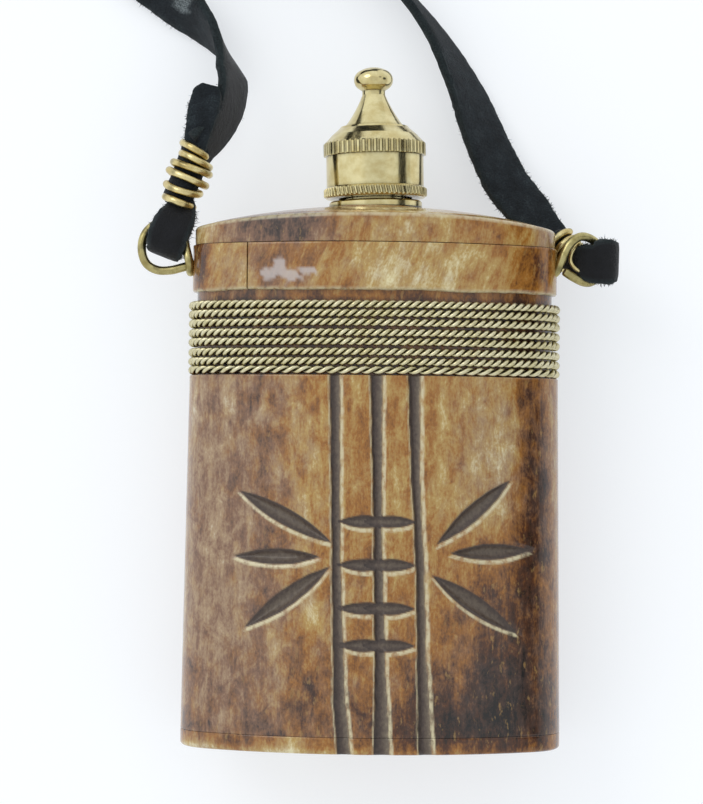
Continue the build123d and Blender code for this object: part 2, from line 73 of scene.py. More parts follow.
class Nodes:
    """A node tree, with short calls for the nodes used here."""

    def __init__(self, owner):
        owner.use_nodes = True
        self.tree = owner.node_tree

    def node(self, kind, values=None, **settings):
        made = self.tree.nodes.new(kind)
        for key, value in settings.items():
            setattr(made, key, value)
        for key, value in (values or {}).items():
            if isinstance(value, bpy.types.NodeSocket):
                self.tree.links.new(value, made.inputs[key])
            else:
                made.inputs[key].default_value = value
        return made

    def place(self, scale, turn=0.0):
        """Object coordinates in millimetres, stretched by scale and turned about Z by degrees."""
        coordinate = self.node("ShaderNodeTexCoord")
        turned = self.node("ShaderNodeVectorRotate", {
            "Vector": coordinate.outputs["Object"], "Axis": (0, 0, 1), "Angle": math.radians(turn)})
        stretched = self.node("ShaderNodeVectorMath", {
            0: turned.outputs[0], 1: [factor / MM for factor in scale]}, operation="MULTIPLY")
        return stretched.outputs[0]

    def noise(self, place, scale, detail=3.0, roughness=0.55, distortion=0.0):
        """Fractal noise, about 0.5 on average."""
        return self.node("ShaderNodeTexNoise", {
            "Vector": place, "Scale": scale, "Detail": detail, "Roughness": roughness,
            "Distortion": distortion}).outputs["Fac"]

    def attribute(self, name):
        """A value painted on the mesh's points."""
        return self.node("ShaderNodeAttribute", attribute_name=name).outputs["Fac"]

    def math(self, operation, first, second):
        return self.node("ShaderNodeMath", {0: first, 1: second}, operation=operation).outputs[0]

    def add(self, first, second):
        return self.math("ADD", first, second)

    def times(self, first, second):
        return self.math("MULTIPLY", first, second)

    def centred(self, value, amount):
        """(value - 0.5) * amount"""
        return self.times(self.math("SUBTRACT", value, 0.5), amount)

    def span(self, value, low, high, to_low=0.0, to_high=1.0):
        """Smooth step of a value from low to high."""
        made = self.node("ShaderNodeMapRange", {
            "Value": value, "From Min": low, "From Max": high, "To Min": to_low, "To Max": to_high})
        made.interpolation_type = "SMOOTHSTEP"
        return made.outputs["Result"]

    def ramp(self, value, stops):
        """Colour read from (place, linear colour) stops."""
        made = self.node("ShaderNodeValToRGB", {"Fac": value})
        ramp = made.color_ramp
        while len(ramp.elements) < len(stops):
            ramp.elements.new(0.5)
        for element, (place, colour) in zip(ramp.elements, stops):
            element.position = place
            element.color = (*colour, 1.0)
        return made.outputs["Color"]

    def shades(self, value, stops):
        """Colour read from (place, display colour) stops."""
        return self.ramp(value, [(place, srgb(*colour)) for place, colour in stops])

    def cover(self, factor, colour, covering):
        """A colour, covered by a display colour or another socket's as far as the factor says."""
        if isinstance(covering, tuple):
            covering = (*srgb(*covering), 1.0)
        return self.node("ShaderNodeMix", {0: factor, 6: colour, 7: covering}, data_type="RGBA").outputs[2]


class Shader(Nodes):
    """A new material and its surface."""

    def __init__(self, name):
        self.material = bpy.data.materials.new(name)
        super().__init__(self.material)
        self.bsdf = self.tree.nodes["Principled BSDF"]

    def bump(self, height, distance, strength=1.0):
        """Roughens the surface's normals; the distance is in millimetres."""
        made = self.node("ShaderNodeBump", {
            "Height": height, "Distance": distance * MM, "Strength": strength})
        self.tree.links.new(made.outputs["Normal"], self.bsdf.inputs["Normal"])

    def set(self, **values):
        """Sets the shader's own sockets, named with underscores, and returns the material."""
        for key, value in values.items():
            socket = self.bsdf.inputs[key.replace("_", " ")]
            if isinstance(value, bpy.types.NodeSocket):
                self.tree.links.new(value, socket)
            else:
                socket.default_value = (*value, 1.0) if isinstance(value, tuple) else value
        return self.material


def srgb(*display):
    """Linear colour from display values, 0 to 255."""
    return tuple(((c / 255 + 0.055) / 1.055) ** 2.4 if c > 10 else c / 255 / 12.92 for c in display)


# ---------------------------------------------------------------- materials

# stained bone at each tone, 0 dark to 1 pale, where it has turned greyish and where it has turned ochre
GREY_BONE = (
    (0.0, (20, 16, 15)), (0.25, (66, 52, 46)), (0.5, (124, 92, 72)), (0.75, (164, 138, 108)),
    (1.0, (206, 196, 172)),
)
OCHRE_BONE = (
    (0.0, (24, 16, 10)), (0.25, (82, 46, 22)), (0.5, (150, 98, 38)), (0.75, (176, 145, 84)),
    (1.0, (218, 206, 162)),
)
# stain in the cuts, read from dark to pale by the painted shade of their floors
CUT_STAIN = ((0.0, (40, 29, 24)), (0.4, (72, 58, 50)), (0.75, (104, 91, 76)), (1.0, (146, 130, 102)))
PALE_FLECKS = (160, 126, 74)
# pale rims: scraped and worn bone; beside the carving also painted highlight on the cut walls that face the
# light
SCRAPED_AND_LIT_RIM = (202, 190, 154)
MILKY_DEPOSIT = (188, 178, 174)


def bone_material(name, streak_turn, streak_amount, blotch_amount):
    """Stained bone: long fibres, blotches and pale flecks over a painted tone, with stained cuts."""
    s = Shader(name)
    fibre_place = s.place((1.0, 0.15, 1.0), streak_turn)
    round_place = s.place((1.0, 0.6, 1.0), streak_turn)
    broad = s.noise(fibre_place, 0.5, 3.0, 0.55, 0.5)
    fine = s.noise(fibre_place, 2.4, 4.0, 0.65, 0.3)
    blotch = s.noise(round_place, 0.5, 5.0, 0.68, 0.5)
    grain = s.noise(round_place, 4.2, 2.0, 0.5)
    painted = s.attribute("tone")
    tone = painted
    for value, amount in ((broad, streak_amount), (fine, 0.36), (blotch, blotch_amount), (grain, 0.3)):
        tone = s.add(tone, s.centred(value, amount))
    warmth = s.add(s.attribute("warm"), s.centred(s.noise(round_place, 0.6, 4.0, 0.65), 1.1))
    colour = s.cover(s.span(warmth, 0.15, 0.85), s.shades(tone, GREY_BONE), s.shades(tone, OCHRE_BONE))
    flecks = s.span(s.noise(s.place((1.0, 0.4, 1.0), streak_turn), 1.5, 3.0, 0.6), 0.59, 0.69)
    colour = s.cover(s.times(flecks, s.span(painted, 0.7, 0.3, 0.05, 0.55)), colour, PALE_FLECKS)
    rim_breakup = s.span(s.noise(round_place, 1.6, 3.0), 0.3, 0.6, 0.25, 0.95)
    # pale rims, broken up by noise: scraped and worn bone, and painted highlight on the lit side of the cuts
    colour = s.cover(s.times(s.attribute("rim"), rim_breakup), colour, SCRAPED_AND_LIT_RIM)
    # the cuts' stain, made darker and paler by the painted shade of their floors
    cut_floor_shade = s.add(s.attribute("cut_floor_shade"), s.centred(s.noise(round_place, 2.6, 4.0, 0.65), 0.8))
    colour = s.cover(s.attribute("cut"), colour, s.shades(cut_floor_shade, CUT_STAIN))
    colour = s.cover(s.attribute("milk"), colour, MILKY_DEPOSIT)
    rough = s.add(s.span(fine, 0.3, 0.7, 0.15, 0.25), s.times(s.attribute("cut"), 0.3))
    s.bump(s.add(fine, s.times(grain, 0.5)), 0.02, 0.5)
    return s.set(Base_Color=colour, Roughness=rough, IOR=1.43, Coat_Weight=0.28, Coat_Roughness=0.08)


def brass_material(name, light, dark, rough_low, rough_high, hollow_tarnish_and_shade=False):
    """Worn yellow brass: patches of colour and polish, with painted dirt and shade, else tarnish and painted
    shade in hollows.
    """
    s = Shader(name)
    patch = s.noise(s.place((1.0, 1.0, 1.0)), 0.6, 4.0, 0.6)
    hair = s.noise(s.place((1.0, 0.15, 1.0)), 7.0, 2.0)
    colour = s.shades(patch, ((0.35, dark), (0.6, light)))
    if hollow_tarnish_and_shade:
        # tarnish and painted shade in the hollows: the less open a point is, the darker it is painted, in the
        # knurls and under the flange
        open_share = s.node("ShaderNodeAmbientOcclusion", {"Distance": 0.5 * MM}, samples=6).outputs["AO"]
        colour = s.cover(s.span(open_share, 0.55, 0.97, 0.98, 0.0), colour, (46, 40, 26))
    else:
        # dark colour from an attribute: patches of dirt on the wires, and painted shade where the hoops'
        # strands meet
        colour = s.cover(s.attribute("dirt_and_shade"), colour, (66, 60, 42))
    rough = s.span(hair, 0.3, 0.7, rough_low, rough_high)
    s.bump(hair, 0.004, 0.4)
    return s.set(Base_Color=colour, Roughness=rough, Metallic=1.0)


def leather_material():
    """Black split leather: napped on one side, smooth on the other, with a paler cut edge and a painted
    highlight at a twist.
    """
    s = Shader("thong_leather")
    place = s.place((1.0, 1.0, 1.0))
    nap = s.noise(place, 5.5, 4.0, 0.7)
    cloud = s.noise(place, 0.5, 3.0)
    rough_colour = s.shades(s.add(s.times(nap, 0.6), s.times(cloud, 0.4)), (
        (0.35, (12, 16, 20)), (0.55, (32, 38, 43)), (0.72, (62, 72, 74))))
    smooth_colour = s.shades(cloud, ((0.35, (6, 7, 10)), (0.7, (16, 17, 22))))
    smooth_side = s.attribute("smooth_side")
    colour = s.cover(smooth_side, rough_colour, smooth_colour)
    edge = s.times(s.attribute("cut_edge"), s.span(nap, 0.35, 0.65, 0.3, 0.9))
    colour = s.cover(edge, colour, (44, 54, 54))
    # painted highlight on the crinkled leather where the strap twists
    twist_highlight = s.times(s.attribute("twist_highlight"), s.span(nap, 0.4, 0.6, 0.2, 1.0))
    colour = s.cover(twist_highlight, colour, (126, 134, 136))
    rough = s.span(smooth_side, 0.0, 1.0, 0.95, 0.5)
    creases = s.noise(place, 1.3, 6.0, 0.7, 0.8)
    s.bump(s.add(nap, s.times(creases, 1.6)), 0.22, 0.8)
    return s.set(Base_Color=colour, Roughness=rough, Sheen_Weight=0.08, Sheen_Roughness=0.5,
                 Specular_IOR_Level=0.22)


def seal_material():
    """Pale leather disc."""
    s = Shader("seal_leather")
    grain = s.noise(s.place((1.0, 1.0, 1.0)), 3.0, 4.0)
    s.bump(grain, 0.05)
    return s.set(Base_Color=s.shades(grain, ((0.3, (120, 84, 56)), (0.7, (164, 124, 86)))), Roughness=0.75)


bone = bone_material("bone_body", 0.0, 0.42, 1.05)
bone_collar = bone_material("bone_collar", 20.0, 0.75, 0.9)
bone_plate = bone_material("bone_plate", 10.0, 0.35, 1.0)
brass = brass_material("brass_polished", (220, 207, 158), (200, 182, 128), 0.1, 0.2, hollow_tarnish_and_shade=True)
wire_brass = brass_material("brass_wire", (220, 212, 178), (200, 190, 148), 0.26, 0.38)
binding_brass = brass_material("brass_binding", (222, 206, 152), (192, 170, 112), 0.22, 0.34)
eye_brass = brass_material("brass_eye", (188, 176, 124), (152, 138, 88), 0.24, 0.36)
leather = leather_material()
seal_leather = seal_material()


# ---------------------------------------------------------------- mesh helpers


def grid_faces(rows, columns, wrap_rows=False):
    """Quads of a grid of points numbered row by row, whose rows are closed rings."""
    r, c = np.meshgrid(np.arange(rows if wrap_rows else rows - 1), np.arange(columns), indexing="ij")
    start, next_start = r * columns, (r + 1) % rows * columns
    next_c = (c + 1) % columns
    quads = np.stack([start + c, start + next_c, next_start + next_c, next_start + c], -1)
    return quads.reshape(-1, 4).tolist()


def capped_faces(rows, size):
    """Quads of an open skin of closed rings, with a face on each end."""
    last = (rows - 1) * size
    return grid_faces(rows, size) + [list(range(size))[::-1], list(range(last, last + size))]


def shifted(faces, first):
    """The same faces for points numbered from first."""
    return [[index + first for index in face] for face in faces]


def make_piece(name, points, faces, material, sharp=55.0, attributes=None):
    """Mesh object from points in millimetres, facing outwards and smooth except at sharp edges."""
    mesh = bpy.data.meshes.new(name)
    mesh.from_pydata((np.asarray(points) * MM).tolist(), [], faces)
    mesh.validate()
    for key, values in (attributes or {}).items():
        layer = mesh.attributes.new(key, "FLOAT", "POINT")
        layer.data.foreach_set("value", np.asarray(values, np.float32).ravel())
    mesh.materials.append(material)
    mesh.shade_smooth()
    mesh.set_sharp_from_angle(angle=math.radians(sharp))
    piece = bpy.data.objects.new(name, mesh)
    bpy.context.scene.collection.objects.link(piece)
    return piece


def finish_piece(piece, body, slot, *nodes):
    """Makes a piece ride on its body and hides the CAD nodes that it stands for; its slot is not used."""
    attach(piece, body)
    if nodes:
        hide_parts(*nodes)
    return piece


def smooth_curve(points, step):
    """Points about a step apart on a smooth curve through given points."""
    points = np.asarray(points, float)
    padded = np.vstack([2 * points[0] - points[1], points, 2 * points[-1] - points[-2]])
    found = []
    for index in range(1, len(padded) - 2):
        p0, p1, p2, p3 = padded[index - 1:index + 3]
        count = max(2, int(np.ceil(np.linalg.norm(p2 - p1) / step)))
        t = np.arange(count)[:, None] / count
        found.append(0.5 * (2 * p1 + (p2 - p0) * t + (2 * p0 - 5 * p1 + 4 * p2 - p3) * t**2
                            + (3 * p1 - p0 - 3 * p2 + p3) * t**3))
    return np.vstack(found + [points[-1:]])


def unit(vectors):
    """The same directions, one long."""
    return vectors / np.linalg.norm(vectors, axis=-1, keepdims=True)


def tangents(path, closed=False):
    """Direction of a path at each of its points."""
    if closed:
        return unit(np.roll(path, -1, 0) - np.roll(path, 1, 0))
    return unit(np.gradient(path, axis=0))


def carried_normals(path):
    """Directions along an open path, and normals that turn as little as possible from point to point."""
    along = tangents(path)
    start = np.cross(along[0], (0.0, 0.0, 1.0))
    if np.linalg.norm(start) < 1e-3:
        start = np.cross(along[0], (0.0, 1.0, 0.0))
    normals = [unit(start)]
    for tangent in along[1:]:
        normals.append(unit(normals[-1] - tangent * (normals[-1] @ tangent)))
    return along, np.array(normals)


def from_end(path):
    """How many points each point of a path is away from its nearer end."""
    return np.minimum(np.arange(len(path)), np.arange(len(path))[::-1])


def ring_points(path, first, second, radius, sides):
    """Rings of points about a path, from two directions across it; radius may vary along it."""
    angle = np.arange(sides) * 2 * math.pi / sides
    cosine, sine = np.cos(angle)[None, :, None], np.sin(angle)[None, :, None]
    radius = np.broadcast_to(radius, (len(path),))[:, None, None]
    return path[:, None] + (cosine * first[:, None] + sine * second[:, None]) * radius


def tube(path, radius, sides):
    """Points and faces of a closed round wire along a path; radius may vary along it."""
    along, normal = carried_normals(path)
    points = ring_points(path, normal, np.cross(along, normal), radius, sides).reshape(-1, 3)
    return points, capped_faces(len(path), sides)


def step_between(low, high, value):
    """Smooth step from 0 at low to 1 at high; low may be above high."""
    t = np.clip((np.asarray(value, float) - low) / (high - low), 0, 1)
    return t * t * (3 - 2 * t)


def wobble(points, scale, seed):
    """Smooth noise from -1 to 1 at points in millimetres, for a feature size of about 1 / scale."""
    shift = Vector((seed * 17.3, seed * 5.1, seed * 9.7))
    return np.array([noise.noise(Vector(p) * scale + shift) for p in np.asarray(points, float)])


def lie(points):
    """Design points (across, out of the front, height) moved to the lying frame, in millimetres."""
    points = np.asarray(points, float)
    return np.stack([points[..., 0], points[..., 2] + FOOT_Y, points[..., 1] + AXIS_Z], -1)


# ---------------------------------------------------------------- the oval section

# how far from the middle the centres of the oval's end arcs stand
SIDE_REACH = 15.95


class Columns:
    """Upright lines round the four-arc oval: right end, front, left end and back."""

    def __init__(self, counts):
        self.arc = np.repeat(np.arange(4), counts)
        self.share = np.concatenate([np.arange(count) / count for count in counts])
        self.count = sum(counts)

    def oval(self, half_width, half_depth, side_radius=None):
        """Points (across, out) of each column and the outward normals there."""
        side = half_width - SIDE_REACH if side_radius is None else side_radius
        reach = half_width - side
        radius = (reach**2 + half_depth**2 - side**2) / (2 * (half_depth - side))
        drop = radius - half_depth
        turn = math.atan2(drop, reach)
        start = np.array([-turn, turn, math.pi - turn, math.pi + turn])[self.arc]
        sweep = np.array([2 * turn, math.pi - 2 * turn] * 2)[self.arc]
        angle = start + sweep * self.share
        normal = np.stack([np.cos(angle), np.sin(angle)], -1)
        centre = np.array([(reach, 0), (0, -drop), (-reach, 0), (0, drop)])[self.arc]
        size = np.array([side, radius, side, radius])[self.arc]
        return centre + normal * size[:, None], normal


# ---------------------------------------------------------------- carving of the front

# centrelines of the long grooves: (height, across), and half widths of the stained floor: (height, width)
GROOVES = (
    ((0, -3.1), (6, -3.72), (23, -4.3), (45, -4.7)),
    ((0, 1.35), (6, 1.17), (22, 0.7), (45, 0.22)),
    ((0, 6.5), (11, 5.98), (22, 5.65), (33, 5.0), (45, 4.7)),
)
GROOVE_HALF_WIDTHS = (
    ((0, 0.82), (8, 0.66), (24, 0.5), (45, 0.6)),
    ((0, 0.95), (9, 0.66), (26, 0.5), (45, 0.72)),
    ((0, 0.8), (12, 0.55), (30, 0.5), (45, 0.74)),
)
GROOVE_DEPTH = 0.45
# pale rim beside each groove: narrow on its left, wider on its right, where the lit wall gets painted
# highlight
GROOVE_RIM_LEFT = 0.17
GROOVE_RIM_RIGHT = 0.42
LENS_HEIGHTS = (27.4, 22.3, 17.2, 12.85)
LENS_ENDS = ((-4.15, 2.5), (-1.0, 5.15))
LENS_HALF_WIDTH = 0.74
LENS_DEPTH = 0.55
# leaf cuts: one end (across, height), other end, half width
LEAVES = (
    ((-15.9, 30.85), (-4.85, 24.9), 1.02), ((-16.4, 23.1), (-6.2, 23.2), 0.95),
    ((-15.05, 14.7), (-4.95, 22.1), 1.05), ((7.6, 24.8), (16.4, 32.45), 0.98),
    ((9.2, 23.75), (18.9, 24.1), 0.95), ((7.0, 21.2), (17.2, 14.3), 1.05),
)
LEAF_DEPTH = 0.75
# the leaves' pale rim is shifted down, so that it is painted highlight on their lower walls, which face the
# light
RIM_SHIFT = (0.06, -0.42)
RIM_SPREAD = 0.08
EDGE_SOFTNESS = 0.09


def leaf_distance(across, height, start, end, half_width):
    """Distance outside a pointed leaf drawn between two points; negative inside it."""
    start, end = np.array(start), np.array(end)
    half_length = np.linalg.norm(end - start) / 2
    along = (end - start) / (2 * half_length)
    middle = (start + end) / 2
    u = (across - middle[0]) * along[0] + (height - middle[1]) * along[1]
    v = -(across - middle[0]) * along[1] + (height - middle[1]) * along[0]
    radius = (half_length**2 + half_width**2) / (2 * half_width)
    offset = radius - half_width
    return np.maximum(np.hypot(u, v - offset), np.hypot(u, v + offset)) - radius


def carving(across, height):
    """Depth of the cuts, how much of the stain and of the pale rim shows (scraped bone and painted
    highlight), and the painted shade of their floors.
    """
    depth = np.zeros_like(across)
    # painted shade of the cuts' floors: grooves darker on the left, paler on the right; leaves darker at
    # their edges
    floor = np.full_like(across, 0.45)
    stain = np.zeros_like(across)
    rim = np.zeros_like(across)
    rough_edge = 0.03 * np.sin(height * 0.9 + across) + 0.022 * np.sin(height * 2.7 + 2 * across)
    for line, widths in zip(GROOVES, GROOVE_HALF_WIDTHS):
        centre = np.interp(height, *zip(*line))
        half = np.interp(height, *zip(*widths)) + rough_edge
        away = across - centre
        depth = np.maximum(depth, GROOVE_DEPTH * step_between(1.75, 0.2, np.abs(away - 0.1) / half))
        stain = np.maximum(stain, step_between(half + EDGE_SOFTNESS, half - EDGE_SOFTNESS, np.abs(away)))
        # painted shade across the groove: its left wall darker, its right wall paler
        floor = np.where(np.abs(away) < half + EDGE_SOFTNESS, 0.42 + 0.42 * away / half, floor)
        left, right = -half - GROOVE_RIM_LEFT, half + GROOVE_RIM_RIGHT
        inside = step_between(left - EDGE_SOFTNESS, left + EDGE_SOFTNESS, away)
        inside *= step_between(right + EDGE_SOFTNESS, right - EDGE_SOFTNESS, away)
        rim = np.maximum(rim, inside)
    cuts = [((left, h), (right, h), LENS_HALF_WIDTH, LENS_DEPTH)
            for h in LENS_HEIGHTS for left, right in LENS_ENDS]
    cuts += [(start, end, half, LEAF_DEPTH) for start, end, half in LEAVES]
    for start, end, half, deepest in cuts:
        gap = leaf_distance(across, height, start, end, half) + rough_edge * 0.6
        depth = np.maximum(depth, deepest * step_between(0.45, -half, gap) ** 1.2)
        # painted shade in the leaf: darker at its edge, paler towards its middle
        floor = np.where(gap < EDGE_SOFTNESS, 0.16 - 0.7 * np.clip(gap, -0.6, 0.0), floor)
        stain = np.maximum(stain, step_between(EDGE_SOFTNESS, -EDGE_SOFTNESS, gap))
        # pale rim: scraped bone, and painted highlight on the leaf's lower wall
        scraped_and_lit = leaf_distance(across - RIM_SHIFT[0], height - RIM_SHIFT[1], start, end, half) - RIM_SPREAD
        rim = np.maximum(rim, step_between(EDGE_SOFTNESS, -EDGE_SOFTNESS, scraped_and_lit + rough_edge * 0.8))
    return depth, stain, rim * (1 - stain), floor


# tone of the stained bone: soft patches (across, height, half width, half height, amount)
BODY_PATCHES = (
    (-17.5, 30.0, 2.6, 26.0, 0.06), (-12.3, 34.0, 2.6, 12.0, -0.13), (-8.2, 33.0, 1.6, 13.0, 0.08),
    (-11.0, 27.3, 4.0, 1.8, 0.08), (-6.5, 17.0, 2.2, 4.5, 0.09), (-6.5, 8.0, 3.0, 5.0, -0.12),
    (2.9, 29.0, 1.5, 9.0, 0.06), (8.6, 37.0, 2.4, 8.0, 0.13), (13.6, 38.5, 3.2, 7.0, 0.16),
    (14.6, 34.5, 3.0, 3.2, 0.14), (12.0, 28.0, 4.0, 2.4, 0.16), (10.0, 12.0, 1.3, 6.0, 0.1),
    (19.2, 30.0, 2.0, 12.0, -0.36), (20.0, 44.0, 2.0, 5.0, -0.1), (17.0, 18.0, 5.0, 7.0, -0.22),
    (14.5, 5.0, 8.5, 9.0, -0.36), (4.5, 4.0, 4.5, 7.0, -0.12), (-17.5, 4.0, 4.0, 4.0, 0.05),
)
# how ochre the stain is, from 0 greyish to 1, in the same form; the grey strips at -20.5 and 20.5 across are
# painted highlight on the rounded sides
WARM_PATCHES = (
    (-15.5, 24.0, 6.5, 40.0, -0.42), (-20.5, 24.0, 3.0, 40.0, -0.3), (3.5, 38.0, 9.0, 20.0, 0.2),
    (14.0, 36.0, 5.5, 9.0, -0.26), (16.0, 6.0, 9.0, 8.0, -0.3), (-3.0, 3.0, 9.0, 6.0, -0.15),
    (20.5, 28.0, 2.2, 14.0, -0.25),
)


def patches(across, height, table):
    """Sum of the soft patches of a tone table."""
    total = np.zeros_like(across)
    for x, h, half_x, half_h, amount in table:
        total += amount * np.exp(-((across - x) / half_x) ** 2 - ((height - h) / half_h) ** 2)
    return total


def body_tone(across, out, height):
    """Painted tone of the body and the base plate, 0 dark to 1 pale, with painted highlight along the rounded
    sides.
    """
    # darker towards the foot; paler along both rounded sides, a painted highlight
    tone = 0.55 - 0.12 * step_between(14.0, 3.0, height) + 0.06 * step_between(20.0, 22.0, np.abs(across))
    front = step_between(0.0, 3.0, out)
    return tone + front * patches(across, height, BODY_PATCHES)


def body_warmth(across, out, height):
    """How ochre the body and the base plate are."""
    front = step_between(0.0, 3.0, out)
    return 0.7 + front * patches(across, height, WARM_PATCHES) - 0.25 * (1 - front)


# ---------------------------------------------------------------- bottle body

BODY_FOOT, BODY_TOP = 2.0, 44.65
FOOT_OVAL, SHOULDER_OVAL = (22.95, 11.4), (22.35, 11.2)
REBATE_OVAL = (21.5, 10.35)
SPIGOT_OVAL = (20.4, 9.3)
CAVITY = (18.4, 7.3, 5.0)
COLLAR_FOOT, COLLAR_HEAD = 55.1, 60.4
CARVED_STEP = 0.16
BODY_BEVEL = 0.06
# top of the wire band, and the painted shade of the bone behind it and on the ledge above it, under the
# collar's lip
BAND_TOP = COLLAR_FOOT - 1.3
BAND_SHADE_TONE, LEDGE_SHADE_TONE = 0.28, 0.4


def oval_rows(columns, rows):
    """Stack of ovals, one for each (height, oval), as rows of design points."""
    stack = []
    for height, oval in rows:
        flat, _ = columns.oval(*oval)
        stack.append(np.column_stack([flat, np.full(len(flat), height)]))
    return np.array(stack)


def mixed_oval(share):
    """Oval of the tapered body at a share of its height."""
    return tuple(low + (high - low) * share for low, high in zip(FOOT_OVAL, SHOULDER_OVAL))


def inset_oval(oval, inset):
    """Oval whose half width and half depth are smaller by the inset."""
    return tuple(half - inset for half in oval)


def cut_front(columns, rows, first, last):
    """Design points of stacked ovals, cut in front on the rows from first up to last, and the cuts' masks."""
    grid = oval_rows(columns, rows)
    _, normal = columns.oval(*FOOT_OVAL)
    across, out, height = np.moveaxis(grid, -1, 0)
    depth, stain, rim, floor = carving(across, height)
    number = np.arange(len(rows))[:, None]
    facing = (out > 0) & (number >= first) & (number < last)
    grid[..., :2] -= normal[None] * (depth * facing)[..., None]
    return grid, {"cut": stain * facing, "rim": rim * facing, "cut_floor_shade": floor}


def make_body():
    """Tube of bone: carved outside, rebate for the wire, spigot for the collar, and cavity."""
    columns = Columns((60, 264, 60, 90))
    steps = int((BODY_TOP - BODY_FOOT) / CARVED_STEP)
    rows = [(BODY_FOOT, inset_oval(FOOT_OVAL, BODY_BEVEL))]
    for index in range(steps + 1):
        share = index / steps
        height = BODY_FOOT + BODY_BEVEL + (BODY_TOP - BODY_FOOT - 2 * BODY_BEVEL) * share
        rows.append((height, mixed_oval(share)))
    rows.append((BODY_TOP, inset_oval(SHOULDER_OVAL, BODY_BEVEL)))
    carved_rows = len(rows)
    rows.append((BODY_TOP + 0.02, REBATE_OVAL))
    rows += [(height, REBATE_OVAL) for height in np.arange(45.5, 55.0, 0.5)]
    rows += [(COLLAR_FOOT, REBATE_OVAL), (COLLAR_FOOT, SPIGOT_OVAL), (COLLAR_HEAD, SPIGOT_OVAL)]
    rows += [(height, CAVITY) for height in (COLLAR_HEAD, 50.0, 40.0, 30.0, 20.0, 10.0, BODY_FOOT)]
    grid, attributes = cut_front(columns, rows, 0, carved_rows)
    across, out, height = np.moveaxis(grid, -1, 0)
    tone = body_tone(across, out, height)
    inner = np.arange(len(rows))[:, None] >= carved_rows
    # painted shade: the bone behind the wire band and on the ledge under the collar is darker
    tone = np.where(inner & (height < BAND_TOP), BAND_SHADE_TONE, tone)
    tone = np.where(inner & (height > BAND_TOP), LEDGE_SHADE_TONE, tone)
    attributes |= {"tone": tone, "warm": body_warmth(across, out, height)}
    faces = grid_faces(len(rows), columns.count, wrap_rows=True)
    piece = make_piece("bottle_body_carved", lie(grid).reshape(-1, 3), faces, bone, attributes=attributes)
    finish_piece(piece, "bottle", "bone", "bottle_body")


make_body()

# ---------------------------------------------------------------- base plate

BASE_PATCHES = (
    (-10.0, 1.0, 2.6, 2.5, 0.34), (-20.5, 0.3, 3.0, 0.8, 0.25), (14.0, 1.0, 6.0, 3.0, 0.1),
    (-6.0, 0.2, 22.0, 0.5, 0.22), (-15.0, 1.4, 3.0, 1.5, -0.12),
)
BASE_RIM = 0.5
BASE_WARMTH = 0.25
PLATE_GAP = 0.02
BASE_MIDDLE_OVAL, BASE_INNER_OVAL = (20.0, 8.45), (17.0, 5.45, 3.5)


def make_base_plate():
    """Plate that closes the foot: rounded at its rim, and cut in front like the body."""
    columns = Columns((60, 264, 60, 90))
    rows = [(0.0, BASE_INNER_OVAL), (0.0, BASE_MIDDLE_OVAL)]
    first_carved = len(rows)
    for turn in np.linspace(0, math.pi / 2, 6):
        rows.append((BASE_RIM * (1 - math.cos(turn)), inset_oval(FOOT_OVAL, BASE_RIM * (1 - math.sin(turn)))))
    rows += [(height, FOOT_OVAL) for height in (0.7, 0.9, 1.1, 1.3, 1.5, 1.7, 1.9)]
    rows.append((BODY_FOOT - PLATE_GAP, inset_oval(FOOT_OVAL, 0.05)))
    carved_rows = len(rows)
    rows += [(BODY_FOOT - PLATE_GAP, oval) for oval in (BASE_MIDDLE_OVAL, BASE_INNER_OVAL)]
    grid, attributes = cut_front(columns, rows, first_carved, carved_rows)
    across, out, height = np.moveaxis(grid, -1, 0)
    attributes |= {"tone": body_tone(across, out, height) + patches(across, height, BASE_PATCHES),
                   "warm": body_warmth(across, out, height) + BASE_WARMTH}
    faces = capped_faces(len(rows), columns.count)
    piece = make_piece("base_plate_rimmed", lie(grid).reshape(-1, 3), faces, bone, attributes=attributes)
    finish_piece(piece, "bottle", "bone", "base_plate")


make_base_plate()

# ---------------------------------------------------------------- collar

COLLAR_OVAL = (22.1, 11.0)
COLLAR_JOINT_X = 15.3
COLLAR_PATCHES = (
    (-21.3, 58.0, 1.5, 6.0, -0.3), (-17.3, 57.5, 1.7, 5.0, 0.06), (-12.6, 58.0, 2.2, 6.0, -0.1),
    (1.0, 56.5, 3.6, 5.0, 0.2), (7.2, 56.5, 2.6, 6.0, 0.24), (11.8, 56.0, 1.8, 4.0, 0.14),
    (15.8, 58.0, 2.0, 6.0, -0.12), (19.8, 58.0, 2.6, 6.0, -0.2),
)
COLLAR_WARMTH = (
    (-13.0, 57.0, 6.0, 9.0, -0.25), (3.0, 56.0, 7.0, 5.0, -0.05), (17.0, 57.0, 5.0, 9.0, 0.3),
)
# milky deposit: (across, height, half width, half height)
MILK_SPOTS = (
    (-12.6, 56.6, 1.3, 0.9), (-11.4, 57.6, 0.8, 1.3), (-10.0, 56.4, 1.5, 0.9), (-8.2, 56.9, 1.6, 0.5),
)
COLLAR_WALL = 1.68
COLLAR_LIP_DROP = 0.38
COLLAR_UPPER_ROWS = 16
# how pale each point of the collar's profile is: only its worn lip is
LIP_PALENESS = np.array([0.0] * (COLLAR_UPPER_ROWS + 2) + [0.35, 1, 1, 0.6, 0, 0, 0, 0])


